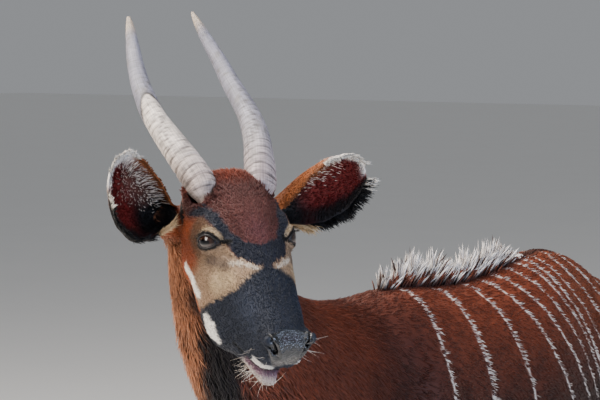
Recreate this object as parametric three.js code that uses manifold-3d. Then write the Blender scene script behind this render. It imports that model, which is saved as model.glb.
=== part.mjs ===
// A life-size bongo antelope cow, standing square with its head turned to its left.
// Millimetres. The animal faces -Y, its left side is +X, up is +Z and the soles stand on Z = 0.
import * as THREE from "three";
import { mergeVertices } from "three/addons/utils/BufferGeometryUtils.js";
import Module from "manifold-3d";

const wasm = await Module();
wasm.setup();

// Driving dimensions
const GAP = 0.3; // free space between pieces that touch
const SHOULDER_HEIGHT = 1137; // to the skin of the withers
const CROUP_HEIGHT = 1156;
const BODY_END_Y = 612; // back of the buttocks
const HEAD_LENGTH = 378; // horn bases to nose tip
const HEAD_TURN = 62.4; // degrees to the animal's left
const HEAD_PITCH = 44.5; // degrees that the face slopes below the horizon
const HEAD_PLACE = new THREE.Vector3(24, -924, 1384); // midway between the horn bases
const EYE_RADIUS = 22;
const LID = 3.5; // thickness of the eyelids
const EYE_PLACE = new THREE.Vector3(69, 119, -18); // right eye in the head's frame
const HORN_BASE_RADIUS = 29;
const EAR_LENGTH = 224;
const EAR_WALL = 5;
const HOOF_HEIGHT = 58;
const HOOF_SPLIT = 3; // half of the cleft between the two claws
const MANE_HEIGHT = 88;
const HIP_SHIFT = -34; // how far the hindquarters stand to the right, as the spine bends a little
const DEGREE = Math.PI / 180;

const vec = (x, y, z) => new THREE.Vector3(x, y, z);

// A closed mesh as a solid, with shared vertices merged and its faces pointing out.
function solidOf(geometry) {
  const bare = geometry.clone();
  bare.deleteAttribute("normal");
  bare.deleteAttribute("uv");
  const merged = mergeVertices(bare, 1e-4);
  const vertProperties = new Float32Array(merged.attributes.position.array);
  const triVerts = new Uint32Array(merged.index.array);
  const made = new wasm.Manifold(new wasm.Mesh({ numProp: 3, vertProperties, triVerts }));
  if (made.volume() > 0) return made;
  for (let i = 0; i < triVerts.length; i += 3)
    [triVerts[i + 1], triVerts[i + 2]] = [triVerts[i + 2], triVerts[i + 1]];
  return new wasm.Manifold(new wasm.Mesh({ numProp: 3, vertProperties, triVerts }));
}

// The largest closed surface of a solid, so that no scrap of a cut stays.
function largest(solid) {
  return solid.decompose().reduce((a, b) => (a.volume() > b.volume() ? a : b));
}

// A solid as a three.js geometry.
function geometryOf(solid) {
  const { vertProperties, triVerts, numProp, numVert } = solid.getMesh();
  const position = new Float32Array(numVert * 3);
  for (let i = 0; i < numVert; i++)
    position.set(vertProperties.subarray(i * numProp, i * numProp + 3), i * 3);
  const geometry = new THREE.BufferGeometry();
  geometry.setAttribute("position", new THREE.BufferAttribute(position, 3));
  geometry.setIndex(new THREE.BufferAttribute(new Uint32Array(triVerts), 1));
  geometry.computeVertexNormals();
  return geometry;
}

const union = (solids) => solids.reduce((a, b) => a.add(b));

// A solid skinned over a row of closed rings that have equal counts of points.
function loft(rings) {
  const count = rings[0].length;
  const points = rings.flat();
  const middle = (ring) => ring.reduce((a, p) => a.clone().add(p), vec(0, 0, 0)).divideScalar(count);
  points.push(middle(rings[0]), middle(rings.at(-1)));
  const faces = [];
  for (let k = 0; k < count; k++) {
    const next = (k + 1) % count;
    const last = (rings.length - 1) * count;
    faces.push(points.length - 2, next, k);
    faces.push(points.length - 1, last + k, last + next);
    for (let r = 0; r + 1 < rings.length; r++) {
      const low = r * count;
      const high = low + count;
      faces.push(low + k, low + next, high + next, low + k, high + next, high + k);
    }
  }
  const geometry = new THREE.BufferGeometry().setFromPoints(points);
  geometry.setIndex(faces);
  return solidOf(geometry);
}

// Values between the rows of a table, on a smooth curve through them. t counts rows.
function between(rows, t) {
  const first = Math.min(Math.floor(t), rows.length - 2);
  const row = (k) => rows[THREE.MathUtils.clamp(k, 0, rows.length - 1)];
  const f = t - first;
  return rows[0].map((_, column) => {
    const [a, b, c, d] = [-1, 0, 1, 2].map((k) => row(first + k)[column]);
    const bend = 2 * a - 5 * b + 4 * c - d;
    return 0.5 * (2 * b + (c - a) * f + bend * f * f + (3 * b - a - 3 * c + d) * f * f * f);
  });
}

// The table read at an even count of places from its first row to its last.
function spread(rows, count) {
  return Array.from({ length: count }, (_, i) => between(rows, (i * (rows.length - 1)) / (count - 1)));
}

// One oval ring. across and up are unit vectors, egg above 0 makes the lower half the wider one,
// and square above 0 fills the corners.
function oval({ middle, across, up, wide, high, egg = 0, square = 0, count }) {
  return Array.from({ length: count }, (_, k) => {
    const angle = (2 * Math.PI * k) / count;
    const power = 1 - square;
    const c = Math.sign(Math.cos(angle)) * Math.abs(Math.cos(angle)) ** power;
    const s = Math.sign(Math.sin(angle)) * Math.abs(Math.sin(angle)) ** power;
    return middle.clone().addScaledVector(across, wide * c * (1 - egg * s)).addScaledVector(up, high * s);
  });
}

// Trunk: one tube from the buttocks to the back of the head.
// y and z of the back line, y and z of the belly line, half width, egg, sideways shift, turn in degrees
const TRUNK = [
  [BODY_END_Y, 985, BODY_END_Y - 8, 870, 44, 0, 0, 0],
  [BODY_END_Y - 16, 1022, BODY_END_Y - 30, 800, 88, 0, 0, 0],
  [562, 1056, 545, 732, 118, 0.06, 0, 0],
  [500, 1098, 492, 668, 142, 0.14, 0, 0],
  [420, 1134, 420, 626, 159, 0.21, 0, 0],
  [320, CROUP_HEIGHT, 320, 600, 173, 0.25, 0, 0],
  [195, 1150, 195, 564, 195, 0.23, 0, 0],
  [55, 1132, 55, 534, 214, 0.19, 0, 0],
  [-90, 1120, -90, 524, 214, 0.15, 0, 0],
  [-230, 1126, -235, 530, 199, 0.1, 0, 0],
  [-350, SHOULDER_HEIGHT, -362, 546, 182, 0.05, 0, 0],
  [-440, 1131, -476, 574, 167, 0, 0, 0],
  [-520, 1126, -598, 652, 151, 0, -8, 2],
  [-595, 1130, -694, 746, 139, 0, -20, 4],
  [-658, 1148, -784, 842, 128, 0, -34, 8],
  [-715, 1178, -852, 936, 117, 0, -46, 12],
  [-768, 1220, -890, 1026, 105, 0, -52, 18],
  [-815, 1270, -904, 1100, 92, 0, -54, 26],
  [-848, 1318, -922, 1170, 80, 0, -54, 34],
  [-868, 1350, -930, 1230, 66, 0, -56, 40],
];
const NECK_ROW = 12.6; // where the neck begins, in rows of the trunk
const BEND_START_Y = -60;
const BEND_END_Y = 420;

// How far the bend of the spine carries a place to the left, by its y.
const bendAt = (y) => HIP_SHIFT * THREE.MathUtils.smoothstep(y, BEND_START_Y, BEND_END_Y);

function trunkRing(row, grow, count) {
  const [yBack, zBack, yBelly, zBelly, wide, egg, x, turn] = row;
  const ahead = vec(Math.sin(turn * DEGREE), -Math.cos(turn * DEGREE), 0);
  const lean = Math.atan2(yBack - yBelly, zBack - zBelly);
  return oval({
    middle: vec(x + bendAt((yBack + yBelly) / 2), (yBack + yBelly) / 2, (zBack + zBelly) / 2),
    across: vec(Math.cos(turn * DEGREE), Math.sin(turn * DEGREE), 0),
    up: vec(0, 0, Math.cos(lean)).addScaledVector(ahead, -Math.sin(lean)),
    wide: wide + grow,
    high: Math.hypot(yBack - yBelly, zBack - zBelly) / 2 + grow,
    egg,
    square: 0.06,
    count,
  });
}

function trunkSolid(grow = 0) {
  const rings = spread(TRUNK, 35).map((row) => trunkRing(row, grow, 24));
  rings[0] = rings[0].map((p) => p.clone().setY(p.y + grow));
  return loft(rings);
}

// Legs: z, sideways place, half width, y of the front line, y of the back line
const FRONT_LEG = [
  [1010, 118, 34, -445, -350],
  [930, 136, 52, -490, -305],
  [830, 142, 60, -522, -282],
  [730, 138, 58, -520, -282],
  [650, 131, 50, -494, -308],
  [575, 124, 41, -474, -342],
  [500, 119, 34, -461, -364],
  [430, 116, 29, -453, -379],
  [388, 114, 31, -454, -381],
  [350, 113, 30, -453, -383],
  [312, 112, 22, -440, -390],
  [225, 111, 18.5, -435, -392],
  [165, 110, 19.5, -435, -389],
  [130, 110, 26, -443, -381],
  [100, 110, 25, -450, -390],
  [76, 110, 28, -466, -400],
  [HOOF_HEIGHT, 110, 31, -481, -404],
];
const HIND_LEG = [
  [1040, 78, 36, 320, 520],
  [960, 100, 58, 250, 575],
  [850, 114, 68, 220, 604],
  [740, 131, 69, 232, 600],
  [655, 129, 60, 258, 570],
  [580, 124, 47, 308, 550],
  [515, 120, 36, 372, 549],
  [462, 118, 29, 448, 560],
  [425, 117, 27, 483, 576],
  [385, 116, 27, 497, 569],
  [340, 116, 22.5, 507, 561],
  [250, 115, 19.5, 511, 557],
  [172, 114, 20.5, 509, 557],
  [136, 114, 27, 502, 562],
  [105, 114, 25.5, 493, 550],
  [78, 114, 28.5, 472, 538],
  [HOOF_HEIGHT, 114, 32, 455, 531],
];
// Each leg: its table, the side it stands on, its shift to the left, how far its foot is set back,
// and the cut that parts it from the trunk, as a sideways place, a height and a slope
const LEGS = {
  front_left: { table: FRONT_LEG, side: 1, shift: 0, step: -12, cut: [60, 590, 0.72] },
  front_right: { table: FRONT_LEG, side: -1, shift: 0, step: 16, cut: [60, 590, 0.72] },
  hind_left: { table: HIND_LEG, side: 1, shift: HIP_SHIFT, step: 20, cut: [60, 640, 0.85] },
  hind_right: { table: HIND_LEG, side: -1, shift: HIP_SHIFT, step: -18, cut: [60, 640, 0.85] },
};
const STEP_TOP = 700; // above this height the step leaves the leg where it is

// How far a level of the leg is carried by the step of its foot.
const stepAt = (leg, z) => leg.step * Math.max(0, 1 - z / STEP_TOP);

function dewclaws(leg) {
  const fetlock = leg.table.at(-4);
  const [z, x, wide, , yBack] = fetlock;
  return [-1, 1].map((inner) => {
    const claw = new THREE.SphereGeometry(1, 8, 6);
    claw.scale(9, 8, 15);
    claw.rotateX(-0.35);
    const sideways = leg.shift + leg.side * (x + inner * wide * 0.52);
    claw.translate(sideways, yBack - 3 + stepAt(leg, z), z - 14);
    return solidOf(claw);
  });
}

function legSolid(leg) {
  const rings = spread(leg.table, 22).map(([z, x, wide, yFront, yBack]) =>
    oval({
      middle: vec(leg.shift + leg.side * x, (yFront + yBack) / 2 + stepAt(leg, z), z),
      across: vec(1, 0, 0),
      up: vec(0, 1, 0),
      wide,
      high: (yBack - yFront) / 2,
      count: 12,
    }),
  );
  return union([loft(rings), ...dewclaws(leg)]);
}

// The slanted plane between a leg and the trunk, as a normal that points up and its offset.
function legPlane(leg) {
  const [x, z, slope] = leg.cut;
  const normal = vec(-leg.side * slope, 0, 1).normalize();
  return { normal: normal.toArray(), offset: normal.dot(vec(leg.shift + leg.side * x, 0, z)) };
}

// One claw of a cloven hoof: rings from the sole up to the coronet.
function hoofSolid(leg, inner) {
  const [z, x, wide, yFront, yBack] = leg.table.at(-1);
  const step = stepAt(leg, z);
  // height, how far the toe lies ahead of the coronet, heel behind it, share of the width
  const levels = [
    [0, 36, 1, 1.12],
    [12, 33, 2, 1.12],
    [34, 18, 2, 1.04],
    [z - GAP, 0, -1, 0.96],
  ];
  const rings = levels.map(([height, toe, heel, share]) => {
    const front = yFront - toe + step;
    const back = yBack + heel + step;
    const outer = wide * share;
    const ring = [];
    for (let k = 0; k <= 8; k++) {
      const angle = (Math.PI * k) / 8 - Math.PI / 2;
      const bulge = Math.cos(angle) ** 0.6 * (1 - 0.28 * Math.max(0, -Math.sin(angle)));
      ring.push(
        vec(
          leg.shift + leg.side * x + inner * (HOOF_SPLIT + (outer - HOOF_SPLIT) * bulge),
          (front + back) / 2 + ((back - front) / 2) * Math.sin(angle),
          height,
        ),
      );
    }
    return ring;
  });
  return loft(rings);
}

// Head: everything from here to the ears is in the head's own frame.
// X is the animal's right, Y runs down the face to the nose, Z stands out of the forehead.
// y, z of the face line, z of the jaw line, half width, egg, square
const HEAD = [
  [-46, -30, -66, 26, 0, 0],
  [-38, -6, -96, 52, 0, 0.05],
  [-20, 12, -124, 74, -0.05, 0.12],
  [10, 22, -150, 86, -0.1, 0.2],
  [50, 28, -166, 88, -0.12, 0.18],
  [90, 30, -170, 87, -0.14, 0.18],
  [125, 26, -168, 85, -0.12, 0.18],
  [165, 20, -168, 83, -0.02, 0.16],
  [205, 14, -165, 79, 0.06, 0.16],
  [245, 10, -156, 72, 0.1, 0.18],
  [285, 7, -142, 64, 0.1, 0.2],
  [318, 5, -127, 57, 0.07, 0.22],
  [342, 1, -117, 52, 0.02, 0.22],
  [360, -7, -113, 46, 0, 0.2],
  [371, -20, -105, 38, 0, 0.14],
  [HEAD_LENGTH, -38, -78, 22, 0, 0],
];
const MOUTH_CORNER = [296, -84]; // y, z in the head's frame
const MOUTH_FRONT = [378, -70];
const LIP_DEPTH = 9; // depth of the groove between the lips
const LIP_OPENING = 2.4;

function headLoft(grow = 0) {
  const rings = spread(HEAD, 25).map(([y, zFace, zJaw, wide, egg, square]) =>
    oval({
      middle: vec(0, y, (zFace + zJaw) / 2),
      across: vec(1, 0, 0),
      up: vec(0, 0, 1),
      wide: wide + grow,
      high: (zFace - zJaw) / 2 + grow,
      egg,
      square,
      count: 26,
    }),
  );
  rings[0] = rings[0].map((p) => p.clone().setY(p.y - Math.max(grow, 0)));
  rings[rings.length - 1] = rings.at(-1).map((p) => p.clone().setY(p.y + grow));
  return loft(rings);
}

// An egg-shaped swelling: place, half sizes and a turn about the axis out of the forehead.
function swelling(place, sizes, turn = 0) {
  const ball = new THREE.SphereGeometry(1, 10, 7);
  ball.scale(...sizes);
  ball.rotateZ(turn);
  ball.translate(...place);
  return solidOf(ball);
}

// The way each eye looks, in the head's frame.
const eyeLook = (side) => vec(side * 0.87, 0.35, 0.35).normalize();

// Eyelids: a cap over the eye with an almond opening whose long axis lies level.
function eyelids(side, grow) {
  const look = eyeLook(side);
  const long = fromLevel(0, -1, 0);
  long.addScaledVector(look, -long.dot(look)).normalize();
  const short = look.clone().cross(long);
  const cap = new THREE.SphereGeometry(EYE_RADIUS + LID + grow, 14, 10);
  const opening = new THREE.CylinderGeometry(1, 1, 3 * EYE_RADIUS, 14);
  opening.scale(12 - grow, 1, 18 - grow);
  opening.translate(0, 1.5 * EYE_RADIUS, 0);
  opening.applyMatrix4(new THREE.Matrix4().makeBasis(short, look, long));
  const solids = [cap, opening].map((shape) => {
    shape.translate(side * EYE_PLACE.x, EYE_PLACE.y, EYE_PLACE.z);
    return solidOf(shape);
  });
  return solids[0].subtract(solids[1]);
}

// The groove of the closed mouth: a thin slab that runs in from the lips by LIP_DEPTH.
function mouthGroove() {
  const [yCorner, zCorner] = MOUTH_CORNER;
  const [yFront, zFront] = MOUTH_FRONT;
  const reach = yFront - yCorner;
  const slab = new THREE.BoxGeometry(140, reach * 1.5, LIP_OPENING);
  slab.translate(0, reach * 0.75, 0);
  slab.rotateX(Math.atan2(zFront - zCorner, reach));
  slab.translate(0, yCorner, zCorner);
  return solidOf(slab).subtract(headLoft(-LIP_DEPTH));
}

function nostril(side) {
  const hole = new THREE.SphereGeometry(1, 12, 8);
  hole.scale(5.5, 14, 9);
  hole.rotateZ(side * 0.5);
  hole.translate(side * 33, 357, -17);
  return solidOf(hole);
}

// Horns: sideways, backwards and upwards from midway between the horn bases, level with the ground,
// and the radius
const HORN = [
  [53, -20, -46, 26],
  [58, -6, -20, 29],
  [63, 6, 4, HORN_BASE_RADIUS],
  [75, 33, 36, 28],
  [87, 68, 70, 25.5],
  [95, 113, 105, 22.5],
  [97.5, 164, 141, 20],
  [95, 213, 178, 17.5],
  [90, 254, 217, 15],
  [82, 291, 255, 12],
  [75, 322, 291, 8],
  [71, 340, 313, 3],
];
const HORN_RINGS = 23;
const KEEL_WIND = 6; // radians that the keel winds round the horn
const HORN_SHARES = { left: 1, right: 0.965 }; // the right tip is worn shorter

// A level vector given as sideways, backwards, upwards, in the head's frame.
function fromLevel(side, back, up) {
  const pitch = HEAD_PITCH * DEGREE;
  const forward = -back;
  return vec(
    side,
    forward * Math.cos(pitch) - up * Math.sin(pitch),
    forward * Math.sin(pitch) + up * Math.cos(pitch),
  );
}

function hornSolid(side, share, grow = 0) {
  const rows = spread(HORN, HORN_RINGS);
  const places = rows.map(([x, back, up]) => fromLevel(side * x * share, back * share, up * share));
  const rings = rows.map(([, , , radius], i) => {
    const ahead = places[Math.min(i + 1, HORN_RINGS - 1)].clone().sub(places[Math.max(i - 1, 0)]);
    const across = ahead.normalize().clone().cross(vec(0, 0, 1)).normalize();
    const up = across.clone().cross(ahead).normalize();
    return Array.from({ length: 12 }, (_, k) => {
      const angle = (2 * Math.PI * k) / 12;
      // A keel runs up the horn and winds once round it.
      const keel = 1 + 0.1 * Math.cos(angle - side * (0.8 + (i * KEEL_WIND) / HORN_RINGS)) ** 3;
      const reach = radius * keel + grow;
      return places[i]
        .clone()
        .addScaledVector(across, reach * Math.cos(angle))
        .addScaledVector(up, reach * Math.sin(angle));
    });
  });
  const inwards = places[0].clone().sub(places[1]).setLength(grow);
  rings[0] = rings[0].map((p) => p.clone().add(inwards));
  return loft(rings);
}

// Ears: the way the ear points and the way its cup faces, as sideways, backwards and upwards.
const EARS = {
  left: { side: -1, points: [0.917, -0.167, 0.362], faces: [-0.04, -0.79, -0.62] },
  right: { side: 1, points: [0.734, -0.579, 0.354], faces: [-0.12, -0.94, 0.33] },
};
// share of the length, half width, cup depth, half opening angle in degrees
const EAR = [
  [0, 26, 27, 128],
  [0.1, 35, 32, 118],
  [0.25, 54, 38, 106],
  [0.42, 71, 39, 96],
  [0.6, 80, 35, 88],
  [0.78, 75, 27, 80],
  [0.91, 56, 17, 72],
  [1, 28, 8, 62],
];
const EAR_ROOT = vec(92, -2, -102); // right ear, in the head's frame
const EAR_STUB = 30; // length of the stub that the head carries

function earFrame({ side, points, faces }) {
  const axis = fromLevel(side * points[0], points[1], points[2]).normalize();
  const open = fromLevel(side * faces[0], faces[1], faces[2]);
  open.addScaledVector(axis, -open.dot(axis)).normalize();
  const root = EAR_ROOT.clone();
  root.x *= side;
  return { axis, open, across: axis.clone().cross(open).normalize(), root };
}

function earSolid(ear) {
  const { axis, open, across, root } = earFrame(ear);
  const start = root.clone().addScaledVector(axis, EAR_STUB + GAP);
  const half = 9;
  const rings = spread(EAR, 12).map(([share, wide, deep, limit]) => {
    const middle = start.clone().addScaledVector(axis, share * (EAR_LENGTH - EAR_STUB));
    const edge = (angle, inset) =>
      middle
        .clone()
        .addScaledVector(across, (wide - inset) * Math.sin(angle))
        .addScaledVector(open, deep * 0.3 - (deep - inset) * Math.cos(angle));
    const wall = Math.min(EAR_WALL, deep * 0.6);
    const outer = [];
    const inner = [];
    for (let k = 0; k < half; k++) {
      const angle = limit * DEGREE * ((2 * k) / (half - 1) - 1);
      outer.push(edge(angle, 0));
      inner.unshift(edge(angle * 0.97, wall));
    }
    return [...outer, ...inner];
  });
  return loft(rings);
}

function earStub(ear, grow) {
  const { axis, open, across, root } = earFrame(ear);
  const rows = [
    [-40 - grow, 34, 34],
    [0, 31, 31],
    [EAR_STUB + grow, 27, 27],
  ];
  const rings = spread(rows, 5).map(([along, wide, deep]) =>
    oval({
      middle: root.clone().addScaledVector(axis, along),
      across,
      up: open,
      wide: wide + grow,
      high: deep + grow,
      count: 14,
    }),
  );
  return loft(rings);
}

function eyeSolid(side, grow = 0) {
  const ball = new THREE.SphereGeometry(EYE_RADIUS + grow, 16, 10);
  ball.rotateZ(-Math.PI / 2);
  ball.translate(side * EYE_PLACE.x, EYE_PLACE.y, EYE_PLACE.z);
  return solidOf(ball);
}

// Skull, brows, cheeks, lips, lids and ear stubs, all grown outwards by the same amount.
function headFlesh(grow) {
  const flesh = [headLoft(grow), earStub(EARS.left, grow), earStub(EARS.right, grow)];
  const grown = (x, y, z) => [x + grow, y + grow, z + grow];
  for (const side of [1, -1]) {
    flesh.push(swelling([side * 60, 98, -10], grown(27, 52, 26), side * -0.15)); // brow
    flesh.push(swelling([side * 56, 158, -52], grown(24, 66, 26), side * 0.2)); // cheekbone
    flesh.push(swelling([side * 50, 78, -108], grown(32, 70, 52))); // chewing muscle
    flesh.push(swelling([side * 30, 341, -22], grown(20, 26, 22), side * 0.3)); // nostril wing
    flesh.push(swelling([side * 58, 4, -18], grown(34, 34, 34))); // root of the horn
    flesh.push(eyelids(side, grow));
  }
  flesh.push(swelling([0, 350, -101], grown(34, 27, 15))); // chin
  return union(flesh);
}

function headSolid() {
  const holes = [mouthGroove()];
  for (const [name, { side }] of Object.entries(EARS))
    holes.push(nostril(side), eyeSolid(side, GAP), hornSolid(side, HORN_SHARES[name], GAP));
  return largest(headFlesh(0).subtract(union(holes)));
}

// Tail: y, z, radius, from inside the rump down to the start of its tuft
const TAIL = [
  [560, 1030, 34],
  [604, 1034, 30],
  [642, 1008, 25],
  [662, 955, 21],
  [668, 870, 18],
  [664, 780, 16],
  [660, 690, 15],
  [658, 615, 16],
  [657, 560, 17],
  [657, 520, 10],
];
const TUFT_LOCKS = 12;
const TUFT_LENGTH = 165;

function tailCore() {
  const rows = spread(TAIL, 15);
  const places = rows.map(([y, z]) => vec(HIP_SHIFT, y, z));
  const rings = rows.map(([, , radius], i) => {
    const ahead = places[Math.min(i + 1, rows.length - 1)].clone().sub(places[Math.max(i - 1, 0)]).normalize();
    const up = vec(1, 0, 0).cross(ahead);
    return oval({ middle: places[i], across: vec(1, 0, 0), up, wide: radius, high: radius, count: 10 });
  });
  return loft(rings);
}

// One flat tapered lock of hair from its root to its tip, bent towards the ground or the rear.
function lock({ root, along, bend, flat, length, wide, thick }) {
  const shares = [0, 0.35, 0.7, 1];
  const widths = [0.8, 1, 0.82, 0.22];
  const side = flat.clone().cross(along).normalize();
  const rings = shares.map((share, i) => {
    const middle = root
      .clone()
      .addScaledVector(along, length * share)
      .addScaledVector(bend, length * share * share);
    return [
      [1, 0],
      [0, 1],
      [-1, 0],
      [0, -1],
    ].map(([a, b]) =>
      middle
        .clone()
        .addScaledVector(side, (a * wide * widths[i]) / 2)
        .addScaledVector(flat, (b * thick * widths[i]) / 2),
    );
  });
  return loft(rings);
}

// A seeded random number from 0 to 1 for piece number n.
function chance(n, salt) {
  const x = Math.sin(n * 12.9898 + salt * 78.233) * 43758.5453;
  return x - Math.floor(x);
}

function tailSolid(trunk) {
  const locks = Array.from({ length: TUFT_LOCKS }, (_, n) => {
    const angle = n * 2.4;
    const out = vec(Math.cos(angle), Math.sin(angle), 0);
    const root = vec(HIP_SHIFT, 658, 630 - n * 6.5).addScaledVector(out, 7);
    return lock({
      root,
      along: vec(out.x * 0.16, out.y * 0.16, -1).normalize(),
      bend: out.clone().multiplyScalar(-0.06),
      flat: out,
      length: TUFT_LENGTH * (0.85 + 0.3 * chance(n, 1)),
      wide: 22,
      thick: 9,
    });
  });
  return largest(union([tailCore(), ...locks]).subtract(trunk));
}

// Mane: two staggered rows of upright locks along the back, from the withers to the croup.
const MANE_FRONT_Y = -384;
const MANE_BACK_Y = 185;
const MANE_LOCKS = 21; // in each row

// Height of the back line at a place along the body.
function backLine(y) {
  let low = 0;
  let high = TRUNK.length - 4;
  for (let i = 0; i < 30; i++) {
    const t = (low + high) / 2;
    if (between(TRUNK, t)[0] > y) low = t;
    else high = t;
  }
  return between(TRUNK, low)[1];
}

function maneSolids() {
  const locks = [];
  for (const row of [-1, 1])
    for (let n = 0; n < MANE_LOCKS; n++) {
      const share = (n + (row > 0 ? 0.5 : 0)) / MANE_LOCKS;
      const y = MANE_FRONT_Y + (MANE_BACK_Y - MANE_FRONT_Y) * share;
      const sway = chance(n, row + 4) - 0.5;
      const grown = Math.min(1, 0.55 + share * 4, 0.6 + (1 - share) * 3);
      locks.push(
        lock({
          root: vec(row * 6 + bendAt(y), y, backLine(y) - 22),
          along: vec(row * 0.14 + sway * 0.16, 0.24 + sway * 0.24, 1).normalize(),
          bend: vec(0, 0.24, -0.05),
          flat: vec(1, 0, 0),
          length: (MANE_HEIGHT + 22) * grown * (0.86 + 0.24 * chance(n, row + 9)),
          wide: 54,
          thick: 12,
        }),
      );
    }
  return locks;
}

// Materials: colour, roughness
const finish = (color, roughness) => new THREE.MeshStandardMaterial({ color, roughness, metalness: 0 });
const COAT = finish(0x7a3420, 0.85);
const FACE = finish(0x4b2c28, 0.8);
const EAR_HAIR = finish(0x8a4a22, 0.85);
const DARK_HAIR = finish(0x231511, 0.8);
const HORN_SHEATH = finish(0xa89a8c, 0.55);
const HOOF_HORN = finish(0x2a2422, 0.5);
const EYE_GLASS = finish(0x1a1210, 0.08);

function mesh(name, solid, material) {
  const made = new THREE.Mesh(geometryOf(solid), material);
  made.name = name;
  return made;
}

// A solid from the head's frame carried to the body's frame.
function carried(solid, frame) {
  return solid.transform(frame.elements);
}

const body = new THREE.Group();
const headGroup = new THREE.Group();
const pitch = HEAD_PITCH * DEGREE;
const turn = HEAD_TURN * DEGREE;
const ahead = vec(Math.sin(turn), -Math.cos(turn), 0);
const face = ahead.clone().multiplyScalar(Math.cos(pitch)).add(vec(0, 0, -Math.sin(pitch)));
const brow = ahead.clone().multiplyScalar(Math.sin(pitch)).add(vec(0, 0, Math.cos(pitch)));
const right = vec(-Math.cos(turn), -Math.sin(turn), 0);
const headFrame = new THREE.Matrix4().makeBasis(right, face, brow).setPosition(HEAD_PLACE);
headGroup.applyMatrix4(headFrame);

headGroup.add(mesh("head", headSolid(), FACE));
for (const [name, ear] of Object.entries(EARS)) {
  headGroup.add(mesh(`horn_${name}`, hornSolid(ear.side, HORN_SHARES[name]), HORN_SHEATH));
  headGroup.add(mesh(`ear_${name}`, earSolid(ear), EAR_HAIR));
  headGroup.add(mesh(`eye_${name}`, eyeSolid(ear.side), EYE_GLASS));
}
body.add(headGroup);

const trunk = trunkSolid();
const grownTrunk = trunkSolid(GAP * 2);
const neckRow = between(TRUNK, NECK_ROW);
const neckLean = Math.atan2(neckRow[0] - neckRow[2], neckRow[1] - neckRow[3]);
const neckNormal = vec(0, -Math.cos(neckLean), Math.sin(neckLean));
const neckOffset = neckNormal.dot(vec(0, neckRow[0], neckRow[1]));
const behind = neckNormal.clone().negate().toArray();
const grownHead = carried(headFlesh(GAP * 2), headFrame);
const neck = trunk.trimByPlane(neckNormal.toArray(), neckOffset + GAP / 2).subtract(grownHead);
body.add(mesh("neck", largest(neck), COAT));

const torsoPieces = [trunk, ...maneSolids()];
for (const [name, leg] of Object.entries(LEGS)) {
  const whole = legSolid(leg);
  const { normal, offset } = legPlane(leg);
  const below = normal.map((n) => -n);
  torsoPieces.push(whole.trimByPlane(normal, offset + GAP / 2));
  const shank = whole.trimByPlane(below, -offset + GAP / 2).subtract(grownTrunk);
  body.add(mesh(`leg_${name}`, largest(shank), COAT));
  for (const [claw, inner] of [["inner", -leg.side], ["outer", leg.side]])
    body.add(mesh(`hoof_${name}_${claw}`, hoofSolid(leg, inner), HOOF_HORN));
}
const torso = union(torsoPieces).trimByPlane(behind, -neckOffset + GAP / 2);
body.add(mesh("torso", largest(torso), COAT));
body.add(mesh("tail", tailSolid(grownTrunk), DARK_HAIR));

// The origin is on the floor, under the middle of the whole animal.
const box = new THREE.Box3().setFromObject(body, true);
const centre = box.getCenter(vec(0, 0, 0));
body.position.set(-centre.x, -centre.y, -box.min.z);
const root = new THREE.Group();
root.add(body);

export default root;
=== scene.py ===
"""A bongo antelope cow as a life-size museum model, in metres, on the frame that the CAD gives.
The skin comes from the CAD's own flesh, and the coat is solid mesh tufts that lie along it."""

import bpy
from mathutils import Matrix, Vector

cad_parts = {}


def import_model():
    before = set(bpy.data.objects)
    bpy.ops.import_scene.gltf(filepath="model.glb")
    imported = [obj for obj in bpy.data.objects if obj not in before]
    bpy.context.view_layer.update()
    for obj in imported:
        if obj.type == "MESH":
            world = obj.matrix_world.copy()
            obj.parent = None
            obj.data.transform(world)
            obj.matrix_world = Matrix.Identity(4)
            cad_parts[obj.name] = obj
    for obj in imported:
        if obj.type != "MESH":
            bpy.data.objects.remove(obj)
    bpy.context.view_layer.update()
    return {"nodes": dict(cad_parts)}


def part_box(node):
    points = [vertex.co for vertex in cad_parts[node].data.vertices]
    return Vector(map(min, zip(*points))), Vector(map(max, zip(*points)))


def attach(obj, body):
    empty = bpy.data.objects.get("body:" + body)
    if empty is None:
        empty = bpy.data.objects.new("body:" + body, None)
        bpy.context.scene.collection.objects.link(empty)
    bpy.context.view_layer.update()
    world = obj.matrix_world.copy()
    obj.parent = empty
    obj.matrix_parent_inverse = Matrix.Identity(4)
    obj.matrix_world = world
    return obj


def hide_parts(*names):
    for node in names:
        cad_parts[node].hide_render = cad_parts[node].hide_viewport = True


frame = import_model()

import math

import bmesh
import bpy
import numpy as np
from bpy.props import FloatProperty, FloatVectorProperty, IntProperty, PointerProperty
from mathutils import Vector
from mathutils.bvhtree import BVHTree

bl_info = {
    "name": "Bongo Antelope",
    "version": (1, 0, 0),
    "blender": (4, 5, 0),
    "location": "View3D > Sidebar > Bongo",
    "description": "Builds a life-size bongo antelope with skin, coat, horns, hooves and stage",
    "category": "Add Mesh",
}

MM = 0.001

# The CAD's driving dimensions that the looks share with it, in millimetres and degrees.
HEAD_TURN = math.radians(62.4)
HEAD_PITCH = math.radians(44.5)
HEAD_PLACE = np.array([24.0, -924.0, 1384.0])
EYE_PLACE = np.array([69.0, 119.0, -18.0])
HIP_SHIFT = -34.0
MANE_FRONT_Y = -384.0
MANE_BACK_Y = 185.0
LEG_NODES = ["leg_front_left", "leg_front_right", "leg_hind_left", "leg_hind_right"]
BODY_NODES = ["neck", "torso", *LEG_NODES, "tail"]
HOOVES = [n for n in frame["nodes"] if n.startswith("hoof_")]


def unit(v):
    """Vectors of length one, along the last axis."""
    v = np.asarray(v, float)
    return v / np.maximum(np.linalg.norm(v, axis=-1, keepdims=True), 1e-12)


def middle_of(node):
    """The middle of a CAD node's box."""
    low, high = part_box(node)
    return np.array((low + high) / 2)


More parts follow.
